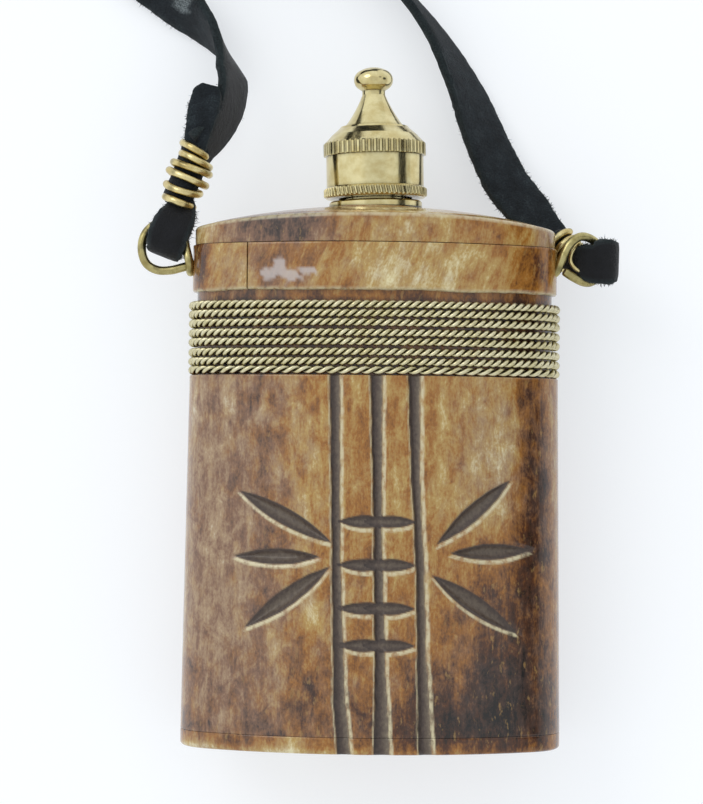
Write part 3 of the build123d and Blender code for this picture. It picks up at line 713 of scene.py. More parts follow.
def collar_profile(wave):
    """Outer and inner line of the collar: (inset from its outer oval, height)."""
    low = COLLAR_FOOT - COLLAR_LIP_DROP + wave
    upper = [(0.0, height) for height in np.linspace(COLLAR_HEAD - 0.3, low + 0.5, COLLAR_UPPER_ROWS)]
    lip = ((0.0, low + 0.25), (0.12, low + 0.08), (0.34, low), (1.0, low - 0.02), (COLLAR_WALL, low))
    inside = ((COLLAR_WALL, 58.0), (COLLAR_WALL, COLLAR_HEAD - 0.02), (1.0, COLLAR_HEAD - 0.01))
    return (0.04, COLLAR_HEAD - 0.02), (0.0, COLLAR_HEAD - 0.08), *upper, *lip, *inside


def make_collar(name, node, columns, chosen):
    """One segment of the collar over the chosen columns, with closed ends."""
    flat, normal = (values[chosen] for values in columns.oval(*COLLAR_OVAL))
    around = np.column_stack([flat, np.zeros(len(flat))])
    wave = 0.16 * wobble(around, 0.16, 3) + 0.07 * wobble(around, 0.6, 4)
    grid = []
    for point, outward, lift in zip(flat, normal, wave):
        profile = np.array(collar_profile(lift))
        grid.append(np.column_stack([point - outward * profile[:, :1], profile[:, 1]]))
    grid = np.array(grid)
    across, out, height = np.moveaxis(grid, -1, 0)
    front = step_between(0.0, 3.0, out)
    milk = np.zeros_like(across)
    for x, h, half_x, half_h in MILK_SPOTS:
        milk = np.maximum(milk, np.exp(-((across - x) / half_x) ** 2 - ((height - h) / half_h) ** 2))
    ragged = wobble(grid.reshape(-1, 3), 1.6, 8).reshape(across.shape)
    attributes = {
        "tone": 0.6 + front * patches(across, height, COLLAR_PATCHES),
        "warm": 0.72 + front * patches(across, height, COLLAR_WARMTH),
        "rim": np.tile(LIP_PALENESS, (len(flat), 1)),
        "milk": 0.7 * front * step_between(0.35, 0.65, milk + 0.4 * ragged),
    }
    faces = [face[::-1] for face in capped_faces(*across.shape)]
    piece = make_piece(name, lie(grid).reshape(-1, 3), faces, bone_collar, 40.0, attributes)
    finish_piece(piece, "bottle", "bone", node)


def make_collars():
    """Two segments, which meet at the left of the front and at the right of the back."""
    columns = Columns((70, 220, 70, 110))
    flat, _ = columns.oval(*COLLAR_OVAL)
    across, out = flat.T
    first = np.argmin(np.where(out < 0, np.abs(across - COLLAR_JOINT_X), np.inf))
    last = np.argmin(np.where(out > 0, np.abs(across + COLLAR_JOINT_X), np.inf))
    order = np.roll(np.arange(columns.count), -first)
    split = (last - first) % columns.count
    make_collar("collar_front_segment", "collar_front", columns, order[:split])
    make_collar("collar_back_segment", "collar_back", columns, order[split:])


make_collars()

# ---------------------------------------------------------------- top plate

PLATE_OVAL = (21.85, 10.9)
PLATE_CROWN = 65.4
PLATE_RADII = (86.65, 40.35)
PLATE_EDGE = 0.55
WASHER_RADIUS = 5.65
SPOT_FACE = 65.2
HOLE_RADIUS = 3.9
# tone of the plate's front: soft patches (across, height, half width, half height, amount); the pale patches
# at its two rounded ends are painted highlight
PLATE_PATCHES = (
    (-21.3, 62.0, 1.4, 3.0, 0.26), (-17.9, 62.0, 1.6, 3.0, -0.02), (-11.6, 62.3, 4.8, 2.6, -0.36),
    (4.3, 62.0, 5.0, 3.0, 0.12), (13.0, 62.0, 5.0, 3.0, -0.08), (20.5, 62.0, 1.6, 3.0, 0.08),
)
# how ochre the plate is, in the same form; greyer at its right end, part of the painted highlight there
PLATE_WARMTH = (
    (-11.6, 62.3, 5.0, 3.0, -0.5),
    (-12.0, 62.0, 5.5, 4.0, -0.5), (3.0, 62.0, 9.0, 4.0, 0.1),
    (15.0, 62.0, 5.0, 4.0, 0.2), (21.0, 62.0, 2.0, 3.0, -0.3),
)


def dome_height(across, out):
    """Height of the shoulder plate's crowned top."""
    falls = [radius - np.sqrt(radius**2 - value**2) for radius, value in zip(PLATE_RADII, (across, out))]
    return PLATE_CROWN - falls[0] - falls[1]


def make_top_plate():
    """Crowned plate of the shoulder, with a rounded edge and a hole for the neck."""
    columns = Columns((60, 150, 60, 110))
    outer, normal = columns.oval(*PLATE_OVAL)
    circle = unit(outer)
    rows, rim = [], []

    def row(flat, height, pale):
        rows.append(np.column_stack([flat, np.broadcast_to(height, (columns.count,))]))
        rim.append(np.full(columns.count, pale, float))

    edge = dome_height(*(outer * 0.985).T)
    for share in (0.02, 0.25, 0.5, 0.75, 1.0):
        row(outer - normal * (0.03 if share < 0.1 else 0.0), COLLAR_HEAD + 0.02
            + (edge - PLATE_EDGE - COLLAR_HEAD) * share * 0.98, 0.0)
    for index in range(1, 6):
        turn = math.pi / 2 * index / 5
        inset = PLATE_EDGE * (1 - math.cos(turn))
        row(outer - normal * inset, edge - PLATE_EDGE * (1 - math.sin(turn)), 0.55 * math.sin(2 * turn) + 0.2)
    start = outer - normal * PLATE_EDGE
    for share in np.linspace(0.04, 1.0, 22):
        flat = start + (circle * WASHER_RADIUS - start) * share
        row(flat, dome_height(*flat.T) * min(1.0, share * 12) + edge * (1 - min(1.0, share * 12)), 0.0)
    row(circle * WASHER_RADIUS, SPOT_FACE - 0.02, 0.0)
    row(circle * HOLE_RADIUS, SPOT_FACE - 0.02, 0.0)
    row(circle * HOLE_RADIUS, COLLAR_HEAD + 0.02, 0.0)
    row(circle * 8.0, COLLAR_HEAD + 0.02, 0.0)
    grid, rim = np.array(rows), np.array(rim)
    across, out, height = grid[..., 0], grid[..., 1], grid[..., 2]
    tone = 0.6 + patches(across, height, PLATE_PATCHES) * step_between(0.0, 3.0, out)
    # painted reflection: the crowned top, past the rounded edge, is painted paler for the gloss it shows
    tone += 0.12 * step_between(0.0, 1.0, np.arange(len(rows))[:, None] - 9)
    warm = 0.6 + patches(across, height, PLATE_WARMTH) * step_between(0.0, 3.0, out)
    attributes = {"tone": tone, "rim": rim, "warm": warm}
    faces = grid_faces(len(rows), columns.count, wrap_rows=True)
    piece = make_piece("top_plate_crowned", lie(grid).reshape(-1, 3), faces, bone_plate, 40.0, attributes)
    finish_piece(piece, "bottle", "bone", "top_plate")


make_top_plate()


# ---------------------------------------------------------------- twisted wire band

WIRE_HEIGHTS = (53.05, 51.98, 50.9, 49.7, 48.62, 47.4, 46.3, 45.23)
TWIST_PITCH = (2.02, 2.04, 2.08, 2.0, 2.06, 2.02, 2.04, 2.8)
STRAND_RADIUS = 0.262
STRAND_OFFSET = 0.262
STRAND_SIDES = 9
WIRE_STAND = 0.53
# painted shade between the strands: how strong it is, and how far from the hoop's centreline it starts and is
# full
STRAND_SHADE = 0.8
SHADE_DISTANCES = (0.38, 0.24)


def make_hoop(number, height, pitch):
    """One hoop of two strands twisted together, lying in the rebate."""
    columns = Columns((150, 270, 150, 270))
    flat, normal = columns.oval(REBATE_OVAL[0] + WIRE_STAND, REBATE_OVAL[1] + WIRE_STAND)
    lift = 0.05 * wobble(np.column_stack([flat, np.zeros(len(flat))]), 0.09, number)
    centre = np.column_stack([flat, height + lift])
    outward = np.column_stack([normal, np.zeros(len(flat))])
    upward = np.broadcast_to((0.0, 0.0, 1.0), outward.shape)
    steps = np.linalg.norm(np.roll(flat, -1, 0) - flat, axis=1)
    travelled = np.concatenate([[0], np.cumsum(steps)[:-1]])
    turns = round(steps.sum() / pitch)
    phase = -travelled / steps.sum() * turns * 2 * math.pi + number
    points, faces, dirt_and_shade = [], [], []
    for strand in (0, math.pi):
        bearing = np.cos(phase + strand)[:, None] * outward + np.sin(phase + strand)[:, None] * upward
        path = centre + STRAND_OFFSET * bearing
        along = tangents(path, closed=True)
        first = unit(bearing - along * np.sum(bearing * along, 1, keepdims=True))
        skin = ring_points(path, first, np.cross(along, first), STRAND_RADIUS, STRAND_SIDES)
        offset = np.linalg.norm(skin - centre[:, None], axis=-1)
        faces += shifted(grid_faces(len(path), STRAND_SIDES, wrap_rows=True), len(points))
        points += skin.reshape(-1, 3).tolist()
        # painted shade on the strands' inner sides, where the two strands meet
        dirt_and_shade += (STRAND_SHADE * step_between(*SHADE_DISTANCES, offset)).ravel().tolist()
    piece = make_piece(f"wire_twist_{number}", lie(points), faces, wire_brass, 80.0, {"dirt_and_shade": dirt_and_shade})
    finish_piece(piece, "bottle", "brass_wire", f"wire_turn_{number}")


for hoop_number, placed in enumerate(zip(WIRE_HEIGHTS, TWIST_PITCH), start=1):
    make_hoop(hoop_number, *placed)


# ---------------------------------------------------------------- kept CAD pieces


def paint(node, material):
    """Gives a CAD node its material."""
    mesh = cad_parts[node].data
    mesh.materials.clear()
    mesh.materials.append(material)


for node in ("screw_cap", "neck", "neck_washer"):
    paint(node, brass)
paint("cap_seal", seal_leather)

# ---------------------------------------------------------------- eye pins and bindings

EYE_WIRE_RADIUS = 0.53
BINDING_WIRE_RADIUS = 0.46
SPARE_WIRE_RADIUS = 0.24
WIRE_STEP = 0.22
# left eye, in the lying frame: out of the collar, round the loop, and the end wrapped over its root
LEFT_EYE_LINE = (
    (-19.4, 17.2, 11.2), (-21.4, 17.1, 11.4), (-23.2, 16.6, 11.6), (-24.8, 16.2, 11.6), (-26.4, 16.2, 11.5),
    (-27.7, 16.9, 11.4), (-28.3, 18.2, 11.4), (-28.3, 19.7, 11.4), (-27.7, 21.0, 11.4), (-26.5, 21.9, 11.4),
    (-25.1, 22.0, 11.4), (-23.9, 21.2, 11.4), (-23.2, 19.9, 11.7), (-22.9, 18.7, 12.3), (-22.6, 17.6, 12.7),
    (-22.4, 16.6, 12.4), (-22.4, 16.0, 11.5), (-22.5, 16.4, 10.5), (-22.3, 17.4, 10.2),
)
RIGHT_EYE_LINE = (
    (19.4, 16.9, 11.6), (21.0, 16.2, 12.2), (21.8, 16.3, 12.8), (22.3, 17.2, 13.1), (22.8, 18.5, 13.3),
    (23.5, 19.8, 13.3), (24.7, 20.7, 13.0), (26.0, 20.6, 12.1), (27.1, 19.8, 11.2), (27.6, 18.2, 10.9),
    (27.3, 16.5, 10.9), (26.4, 15.4, 11.3), (25.3, 15.3, 11.9), (24.1, 15.8, 12.4), (22.9, 16.5, 12.8),
)
# the spare end of the right binding's wire, bent up inside the eye
RIGHT_INNER_LINE = (
    (24.8, 20.2, 11.3), (24.2, 19.4, 12.0), (23.8, 18.6, 12.3), (23.7, 17.8, 12.4), (24.1, 17.1, 12.4),
    (24.8, 16.6, 12.1), (25.4, 16.3, 11.6),
)
# bands of the left binding: their left and right ends (x, y), how far they bow, and their level
LEFT_BANDS = (
    ((-23.6, 31.9), (-20.5, 29.9), 0.0, 9.8), ((-23.7, 30.6), (-20.35, 28.9), 0.1, 10.0),
    ((-24.7, 29.5), (-20.35, 28.0), 0.15, 10.3), ((-25.2, 28.5), (-20.75, 26.6), 0.2, 10.5),
    ((-25.5, 26.8), (-21.45, 25.6), 0.55, 10.8), ((-25.6, 25.2), (-22.25, 23.9), 0.2, 11.0),
)
LEFT_BAND_DEPTH = 2.4
RIGHT_BINDING_AXIS = ((24.4, 18.0, 8.9), (22.6, 20.5, 7.3))
RIGHT_BAND_SHARES = (0.0, 0.3, 0.62, 1.0)
RIGHT_BAND_RADIUS = 1.85


def left_binding_line():
    """Wire wound round the left fold, one uneven band after another, from its cut end at the top."""
    points = []
    for band, following in zip(LEFT_BANDS, (*LEFT_BANDS[1:], LEFT_BANDS[-1])):
        left, right, bow, level = band
        for turn in np.radians(np.arange(0, 360, 15)):
            start = following[1] if turn > math.pi else right
            share = (1 - math.cos(turn)) / 2
            x, y = (start[axis] + (left[axis] - start[axis]) * share for axis in (0, 1))
            lift = math.sin(turn)
            points.append((x, y - bow * max(lift, 0.0), level + LEFT_BAND_DEPTH * lift))
    return np.array(points[2:-5])


def right_binding_line():
    """Wire wound round the right fold at an uneven pitch."""
    start, end = (np.array(point) for point in RIGHT_BINDING_AXIS)
    axis = unit(end - start)
    first = unit(np.cross(axis, (0.0, 0.0, 1.0)))
    second = np.cross(axis, first)
    turn = np.arange(0, len(RIGHT_BAND_SHARES) - 1, 1 / 24)
    share = np.interp(turn, range(len(RIGHT_BAND_SHARES)), RIGHT_BAND_SHARES)
    angle = turn[:, None] * 2 * math.pi
    radius = RIGHT_BAND_RADIUS + 0.12 * np.sin(angle * 1.7)
    return start + (end - start) * share[:, None] + radius * (np.cos(angle) * first + np.sin(angle) * second)


def make_wire(name, lines, node, material):
    """Wires of one node as closed tubes: each line is given with its radius."""
    points, faces = [], []
    for line, radius in lines:
        path = smooth_curve(line, WIRE_STEP)
        thickness = radius * (1 + 0.03 * wobble(path, 0.9, 5))
        thickness = thickness * np.where(from_end(path) == 0, 0.86, 1.0)
        skin, quads = tube(path, thickness, 14)
        faces += shifted(quads, len(points))
        points += skin.tolist()
    # random patches of dirt on the wire
    dirt_and_shade = 0.5 * step_between(0.1, 0.5, wobble(points, 0.8, 6))
    piece = make_piece(name, points, faces, material, 50.0, {"dirt_and_shade": dirt_and_shade})
    return finish_piece(piece, "bottle", "brass_wire", node)


make_wire("eye_wire_left", [(LEFT_EYE_LINE, EYE_WIRE_RADIUS)], "eye_pin_left", eye_brass)
make_wire("eye_wire_right", [(RIGHT_EYE_LINE, EYE_WIRE_RADIUS)], "eye_pin_right", eye_brass)
left_binding = make_wire(
    "binding_wire_left", [(left_binding_line(), BINDING_WIRE_RADIUS)], "binding_left", binding_brass)
right_lines = [(right_binding_line(), BINDING_WIRE_RADIUS), (RIGHT_INNER_LINE, SPARE_WIRE_RADIUS)]
right_binding = make_wire("binding_wire_right", right_lines, "binding_right", binding_brass)


# ---------------------------------------------------------------- thong

THONG_WIDTH, THONG_THICKNESS = 6.3, 1.3
LEFT_RUN = (
    (-22.05, 30.95, 9.6), (-19.4, 33.6, 8.3), (-17.4, 38.6, 6.4), (-18.6, 43.4, 4.4), (-22.0, 47.9, 3.0),
    (-28.0, 52.4, 2.4), (-33.6, 57.6, 2.8), (-38.5, 64.0, 3.2), (-43.5, 70.5, 3.2),
)
RIGHT_RUN = (
    (22.6, 21.0, 6.8), (17.5, 25.5, 4.6), (14.05, 32.1, 3.6), (11.0, 40.2, 3.2), (6.2, 48.6, 3.2),
    (-1.2, 56.0, 3.2), (-10.6, 61.0, 3.2), (-21.8, 62.7, 3.2),
)
COIL_CENTRE = (-19.0, 95.0)
COIL_CORE_RADIUS = 25.2
COIL_SPACING = 3.0
COIL_Z = 3.2
# degrees: between control points, where the inner end starts, and how far each half is wound
COIL_STEP = 27.0
COIL_START = 15.0
COIL_LEFT_TURN, COIL_RIGHT_TURN = 570.0, 431.0


def round_point(centre, radius, degrees):
    """Point of a level circle at the coil's height."""
    turn = math.radians(degrees)
    return centre[0] + radius * math.cos(turn), centre[1] + radius * math.sin(turn), COIL_Z


def coil_point(past, start):
    """Point of the spiral that is past degrees beyond its start."""
    return round_point(COIL_CENTRE, COIL_CORE_RADIUS + COIL_SPACING * past / 180, start + past)


def coil_points():
    """The strap's two halves rolled up together, joined by an S through the middle."""
    points = [coil_point(past, COIL_START) for past in np.arange(COIL_LEFT_TURN, 0.0, -COIL_STEP)]
    half = COIL_CORE_RADIUS / 2
    for side, sense in ((1, -1), (-1, 1)):
        centre = round_point(COIL_CENTRE, side * half, COIL_START)
        points += [round_point(centre, half, COIL_START + sense * turned) for turned in range(10, 180, 40)]
    points += [coil_point(past, COIL_START + 180)
               for past in np.arange(COIL_STEP / 2, COIL_RIGHT_TURN, COIL_STEP)]
    return points


def spline_route(name, points):
    """Smooth NURBS route through its control points, sampled by Blender, in millimetres."""
    data = bpy.data.curves.new(name, "CURVE")
    data.dimensions = "3D"
    data.resolution_u = 24
    spline = data.splines.new("NURBS")
    spline.points.add(len(points) - 1)
    for control, point in zip(spline.points, points):
        control.co = (*(value * MM for value in point), 1.0)
    spline.order_u = 3
    spline.use_endpoint_u = True
    holder = bpy.data.objects.new(name, data)
    bpy.context.scene.collection.objects.link(holder)
    mesh = bpy.data.meshes.new_from_object(holder)
    route = np.array([vertex.co for vertex in mesh.vertices], float) / MM
    bpy.data.objects.remove(holder)
    bpy.data.meshes.remove(mesh)
    return route


def resample(path, step):
    """The same line with points about a step apart."""
    lengths = np.linalg.norm(np.diff(path, axis=0), axis=1)
    travelled = np.concatenate([[0], np.cumsum(lengths)])
    count = int(travelled[-1] / step) + 1
    places = np.linspace(0, travelled[-1], count)
    return np.stack([np.interp(places, travelled, path[:, axis]) for axis in range(3)], 1), places


STRAP_FACE = 0.72
# painted highlight where the left run twists, in the lying frame
TWIST_HIGHLIGHT_PLACE = np.array((-24.2, 50.0, 4.0))
TWIST_HIGHLIGHT_SIZE = np.array((1.3, 1.5, 3.0))
# turn of the strap about its line, in degrees: (distance from its left or right end, tilt)
LEFT_TILTS = ((0, 60), (12, 66), (17, 100), (23, 140), (30, 156), (42, 154), (58, 95), (66, 90))
RIGHT_TILTS = (
    (0, 165), (4.6, 165), (12.5, 153), (19, 140), (25, 123), (29.7, 111), (34.6, 103), (45, 92), (55, 90),
)
# the strap is drawn together towards the right binding: (distance from its end, half width)
RIGHT_HALF_WIDTHS = ((0, 1.5), (1.3, 1.7), (2.8, 2.2), (4.8, 2.8), (9, 3.05), (18, 3.15))


def strap_section():
    """Outline of the strap for a half width and half thickness of 1.

    Each point is (across, through, how much it is on the smooth side, how much it is a cut edge).
    """
    face = np.linspace(-1, 1, 9) * STRAP_FACE
    rows = [(place, 1.0, 1.0, 0.0) for place in face]
    rows += [(0.94, 0.9, 0.3, 1.0), (1.0, 0.0, 0.0, 1.0), (0.94, -0.9, 0.0, 0.5)]
    rows += [(place, -1.0, 0.0, 0.0) for place in face[::-1]]
    rows += [(-0.94, -0.9, 0.0, 0.5), (-1.0, 0.0, 0.0, 1.0), (-0.94, 0.9, 0.3, 1.0)]
    return np.array(rows)


def skin_strap(path, across, half_widths, half_thickness, seed):
    """Points, faces and surface attributes of a flat strap laid along a path, on or above the floor."""
    along = tangents(path)
    across = unit(across - along * np.sum(across * along, 1, keepdims=True))
    through = np.cross(along, across)
    sideways, upwards, smooth, edge = strap_section().T
    thinned = half_thickness * upwards * (1.0 - 0.1 * np.abs(sideways) ** 4)
    points = (path[:, None] + (half_widths[:, None] * sideways)[..., None] * across[:, None]
              + thinned[None, :, None] * through[:, None])
    outward = unit(points - path[:, None]).reshape(-1, 3)
    flat = points.reshape(-1, 3)
    smooth, edge = np.tile(smooth, len(path)), np.tile(edge, len(path))
    ragged = 0.09 * wobble(flat, 1.1, seed) + 0.12 * wobble(flat, 3.1, seed + 1)
    flat = flat + outward * (ragged * (0.25 + 0.35 * (1 - smooth) + 0.75 * edge))[:, None]
    flat[:, 2] = np.maximum(flat[:, 2], 0.0)
    # painted highlight where the left run twists
    twist_highlight = np.exp(-np.sum(((flat - TWIST_HIGHLIGHT_PLACE) / TWIST_HIGHLIGHT_SIZE) ** 2, 1))
    twist_highlight = step_between(0.4, 0.65, twist_highlight + 0.25 * wobble(flat, 1.2, 9))
    attributes = {"smooth_side": smooth, "cut_edge": edge * 0.8, "twist_highlight": twist_highlight}
    return flat, capped_faces(len(path), len(sideways)), attributes


def tilted(path, tilt):
    """Direction across the strap: tilt is how far its upper edge has turned from the left, in degrees."""
    along = tangents(path)
    side = unit(np.cross(along, (0.0, 0.0, 1.0)))
    above = np.cross(side, along)
    angle = np.radians(np.broadcast_to(tilt, (len(path),)))[:, None]
    return -np.cos(angle) * side + np.sin(angle) * above


# folded ends of the strap: left edge and right edge of each station
LEFT_FOLD = (
    ((-24.2, 28.0, 10.4), (-22.2, 27.4, 10.4)), ((-24.7, 26.0, 11.0), (-22.4, 25.2, 11.0)),
    ((-25.3, 24.3, 11.9), (-21.9, 23.4, 11.9)), ((-26.4, 22.9, 12.7), (-21.8, 22.1, 12.7)),
    ((-27.2, 21.7, 12.9), (-22.4, 20.7, 12.9)), ((-27.6, 20.4, 12.9), (-22.9, 19.0, 12.9)),
    ((-27.6, 19.5, 12.5), (-23.4, 18.0, 12.5)), ((-27.6, 19.15, 11.5), (-23.7, 17.65, 11.5)),
    ((-27.5, 19.6, 10.5), (-23.5, 18.1, 10.5)), ((-27.2, 20.8, 9.9), (-22.9, 19.5, 9.9)),
    ((-26.2, 23.0, 9.8), (-22.2, 22.0, 9.8)), ((-25.0, 25.4, 10.0), (-22.4, 24.6, 10.0)),
    ((-24.3, 27.4, 10.1), (-22.2, 26.8, 10.1)),
)
LEFT_TAIL = (
    ((-23.4, 29.5, 10.4), (-21.2, 29.0, 10.7)), ((-23.4, 31.9, 10.8), (-20.5, 31.6, 11.1)),
    ((-23.2, 34.3, 10.8), (-19.6, 34.4, 11.0)), ((-22.9, 36.4, 10.6), (-19.0, 36.7, 10.6)),
    ((-22.3, 37.9, 10.3), (-18.9, 38.3, 10.3)), ((-21.4, 38.7, 10.1), (-19.4, 38.9, 10.1)),
)
RIGHT_FOLD = (
    ((23.2, 17.2, 9.4), (23.1, 19.6, 9.4)), ((24.4, 16.3, 11.1), (24.3, 19.6, 11.1)),
    ((25.4, 15.6, 12.0), (25.2, 19.8, 12.0)), ((26.6, 15.1, 12.4), (26.4, 19.9, 12.3)),
    ((27.8, 14.9, 12.5), (27.5, 20.5, 12.4)), ((28.7, 15.2, 12.1), (28.8, 20.5, 12.1)),
    ((29.0, 15.6, 11.0), (29.1, 20.1, 11.0)), ((28.5, 15.8, 9.9), (28.6, 19.9, 9.9)),
    ((27.1, 16.0, 9.3), (27.0, 20.0, 9.3)), ((25.4, 16.5, 8.8), (25.0, 20.2, 8.8)),
    ((24.1, 17.9, 8.0), (23.2, 20.5, 8.0)),
)
# centrelines of the leather squeezed under each binding, and its radius
LEFT_BUNDLE = (
    (-24.4, 24.2, 10.9), (-23.9, 25.6, 10.8), (-22.9, 28.2, 10.2), (-22.2, 30.4, 9.8), (-21.8, 31.6, 9.5),
)
RIGHT_BUNDLE = (
    (24.5, 18.3, 8.7), (24.1, 18.9, 8.3), (23.5, 19.7, 7.8), (22.8, 20.7, 7.1), (22.3, 21.4, 6.7),
)
LEFT_BUNDLE_RADIUS = 1.85
RIGHT_BUNDLE_RADIUS = 1.5
BUNDLE_SIDES = 20
FOLD_STEP = 0.45


def fold_edges(stations):
    """Left and right edge of a folded strap, smoothed through its stations."""
    edges = smooth_curve(np.reshape(stations, (len(stations), 6)), FOLD_STEP)
    return edges[:, :3], edges[:, 3:]


def folded_strap(stations, seed):
    """Strap between two edge lines given station by station."""
    left, right = fold_edges(stations)
    half = np.linalg.norm(right - left, axis=1) / 2
    return skin_strap((left + right) / 2, right - left, half, THONG_THICKNESS / 2 * 0.95, seed)


def bundle(line, radius, seed):
    """Rounded stack of strap squeezed under a binding."""
    path = smooth_curve(line, 0.4)
    fullness = 0.72 + 0.28 * np.minimum(1.0, from_end(path) / 2)
    points, faces = tube(path, radius * fullness, BUNDLE_SIDES)
    outward = unit(points - np.repeat(path, BUNDLE_SIDES, 0))
    points = points + outward * (0.1 * wobble(points, 1.3, seed))[:, None]
    zero = np.zeros(len(points))
    return points, faces, {"smooth_side": zero + 0.4, "cut_edge": zero, "twist_highlight": zero}


def join_meshes(name, parts):
    """One leather piece from several closed skins."""
    points, faces, attributes = [], [], {}
    for part_points, part_faces, part_attributes in parts:
        faces += shifted(part_faces, len(points))
        points += np.asarray(part_points).tolist()
        for key, values in part_attributes.items():
            attributes.setdefault(key, []).extend(np.ravel(values).tolist())
    return make_piece(name, points, faces, leather, 60.0, attributes)


def make_folds():
    """The strap's two folded ends round the eyes, each with what is squeezed under its binding."""
    left = join_meshes("thong_fold_left", [
        folded_strap(LEFT_FOLD, 11), folded_strap(LEFT_TAIL, 12),
        bundle(LEFT_BUNDLE, LEFT_BUNDLE_RADIUS, 13)])
    right = join_meshes("thong_fold_right", [
        folded_strap(RIGHT_FOLD, 14), bundle(RIGHT_BUNDLE, RIGHT_BUNDLE_RADIUS, 15)])
    finish_piece(left, "bottle", "thong_leather", "thong_left_fold")
    finish_piece(right, "bottle", "thong_leather", "thong_right_fold")
    return [left, right]


FUZZ_SPACING = 0.09
FUZZ_LENGTHS = (0.15, 0.75)
FUZZ_RADIUS = 0.05
FUZZ_ROOT = 0.2
# faces of a three-sided spike whose last point is its tip
FIBRE_FACES = ((0, 1, 3), (1, 2, 3), (2, 0, 3), (2, 1, 0))
# how much of each end of the strap has fibres, and the spacing of the strap's rings
FUZZED_LENGTH = 48.0
PATH_STEP = 0.6


def fuzz_rows(edge, outward, seed):
    """Short leather fibres standing out along an edge, each a closed three-sided spike above the floor."""
    random = np.random.default_rng(seed)
    line, _ = resample(edge, FUZZ_SPACING)
    places, edge_places = np.linspace(0, 1, len(line)), np.linspace(0, 1, len(edge))
    away = np.stack([np.interp(places, edge_places, outward[:, axis]) for axis in range(3)], 1)
    points, faces = [], []
    for root, direction in zip(line, unit(away)):
        lean = unit(direction + random.normal(0, 0.45, 3))
        start = root - lean * FUZZ_ROOT + random.normal(0, 0.1, 3)
        tip = start + lean * (FUZZ_ROOT + random.uniform(*FUZZ_LENGTHS) * random.uniform(0.3, 1.0))
        if min(start[2], tip[2]) < FUZZ_RADIUS:
            continue
        side = unit(np.cross(lean, (0.3, 0.5, 0.8)))
        other = np.cross(lean, side)
        faces += shifted(FIBRE_FACES, len(points))
        points += [start + FUZZ_RADIUS * (math.cos(turn) * side + math.sin(turn) * other)
                   for turn in np.radians((0, 120, 240))]
        points.append(tip)
    zero = np.zeros(len(points))
    return points, faces, {"smooth_side": zero, "cut_edge": zero + 0.6, "twist_highlight": zero}


def make_fuzz(path, tilt, half_widths):
    """Fibres along both edges of the visible runs and along the folds' edges."""
    across = tilted(path, tilt)
    rows = []
    seen = round(FUZZED_LENGTH / PATH_STEP)
    for part in (slice(2, seen), slice(-seen, -2)):
        for sense in (-1, 1):
            edge = path[part] + sense * across[part] * half_widths[part, None]
            rows.append(fuzz_rows(edge, sense * across[part], 20 + len(rows)))
    for stations in (LEFT_FOLD, LEFT_TAIL, RIGHT_FOLD):
        left, right = fold_edges(stations)
        rows.append(fuzz_rows(left, left - right, 40 + len(rows)))
        rows.append(fuzz_rows(right, right - left, 40 + len(rows)))
    piece = join_meshes("thong_fuzz", rows)
    return finish_piece(piece, "bottle", "thong_leather")


def make_thong():
    """The flat lace, rolled up beyond the cap, with all that is tied to it."""
    route = spline_route("thong_route", [*LEFT_RUN, *coil_points(), *RIGHT_RUN[::-1]])
    path, places = resample(route, PATH_STEP)
    length = places[-1]
    tilt = np.interp(places, *zip(*LEFT_TILTS))
    tilt = np.where(places > length / 2, np.interp(length - places, *zip(*RIGHT_TILTS)), tilt)
    half_widths = np.interp(length - places, *zip(*RIGHT_HALF_WIDTHS))
    skin = skin_strap(path, tilted(path, tilt), half_widths, THONG_THICKNESS / 2, 1)
    piece = join_meshes("thong_strap", [skin])
    finish_piece(piece, "bottle", "thong_leather", "thong_left_run", "thong_coil", "thong_right_run")
    on_it = [*make_folds(), make_fuzz(path, tilt, half_widths), left_binding, right_binding]


make_thong()


# ---------------------------------------------------------------- stage and light

FLOOR_HALF_WIDTH = 900.0
FLOOR_DROP = 0.02
FLOOR_GLOW = 0.53


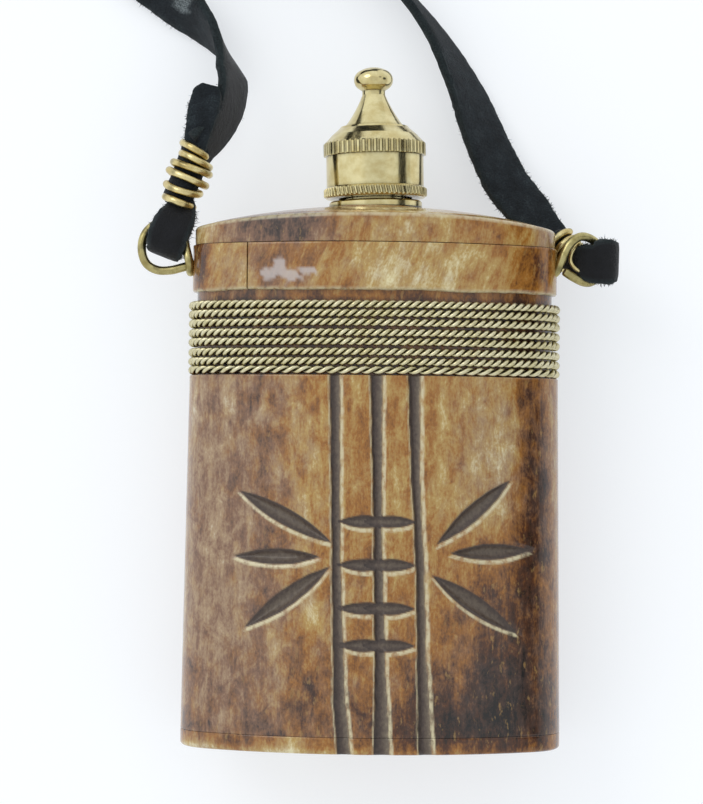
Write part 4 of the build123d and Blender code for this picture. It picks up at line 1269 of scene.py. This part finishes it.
def make_floor():
    """Pale ground that shines a little, a hair below the bottle so that their faces don't meet."""
    half = FLOOR_HALF_WIDTH
    points = [(-half, -half, 0), (half, -half, 0), (half, half, 0), (-half, half, 0)]
    s = Shader("floor")
    mottled = s.noise(s.place((1.0, 1.0, 1.0)), 0.004, 2.0)
    s.set(Base_Color=s.ramp(mottled, ((0.3, (0.5, 0.505, 0.51)), (0.7, (0.51, 0.515, 0.52)))), Roughness=0.9,
          Specular_IOR_Level=0.1)
    s.bsdf.inputs["Emission Color"].default_value = (0.93, 0.96, 1.0, 1.0)
    s.bsdf.inputs["Emission Strength"].default_value = FLOOR_GLOW
    floor = make_piece("floor", np.array(points) - (0, 0, FLOOR_DROP), [[0, 1, 2, 3]], s.material)


def make_light(name, place, size, power, colour):
    data = bpy.data.lights.new(name, "AREA")
    data.shape = "DISK"
    data.size = size
    data.energy = power
    data.color = colour
    light = bpy.data.objects.new(name, data)
    light.location = place
    aim = Vector((0, 0, 0.01)) - Vector(place)
    light.rotation_euler = aim.to_track_quat("-Z", "Y").to_euler()
    bpy.context.scene.collection.objects.link(light)


SKY_COLOUR = (0.93, 0.97, 1.0, 1.0)
# how the sky's strength changes with direction: (towards, cosine from, cosine to, factor at each)
SKY_SHADES = (
    ((0, 0, 1), 0.8, 0.97, 1.0, 0.82),
    ((-0.55, 0.45, 0.7), -1.0, 1.0, 0.74, 1.1),
    ((0.92, 0.08, 0.38), 0.972, 0.99, 1.0, 0.05),
    ((0.6, 0.3, 0.72), 0.985, 0.995, 1.0, 0.35),
)


def make_world():
    """Pale sky, dimmer straight above and to one side, with two dark spots for the brass to reflect."""
    world = bpy.data.worlds.new("world")
    bpy.context.scene.world = world
    sky = Nodes(world)
    direction = sky.node("ShaderNodeTexCoord").outputs["Generated"]
    strength = 1.0
    for towards, *limits in SKY_SHADES:
        cosine = sky.node("ShaderNodeVectorMath", {
            0: direction, 1: Vector(towards).normalized()}, operation="DOT_PRODUCT")
        strength = sky.times(strength, sky.span(cosine.outputs["Value"], *limits))
    background = sky.tree.nodes["Background"]
    sky.tree.links.new(strength, background.inputs["Strength"])
    background.inputs["Color"].default_value = SKY_COLOUR


make_floor()
make_world()
make_light("key", (-0.5, 0.45, 0.6), 0.5, 1.2, (1.0, 0.99, 0.97))
bpy.context.scene.view_settings.view_transform = "Standard"
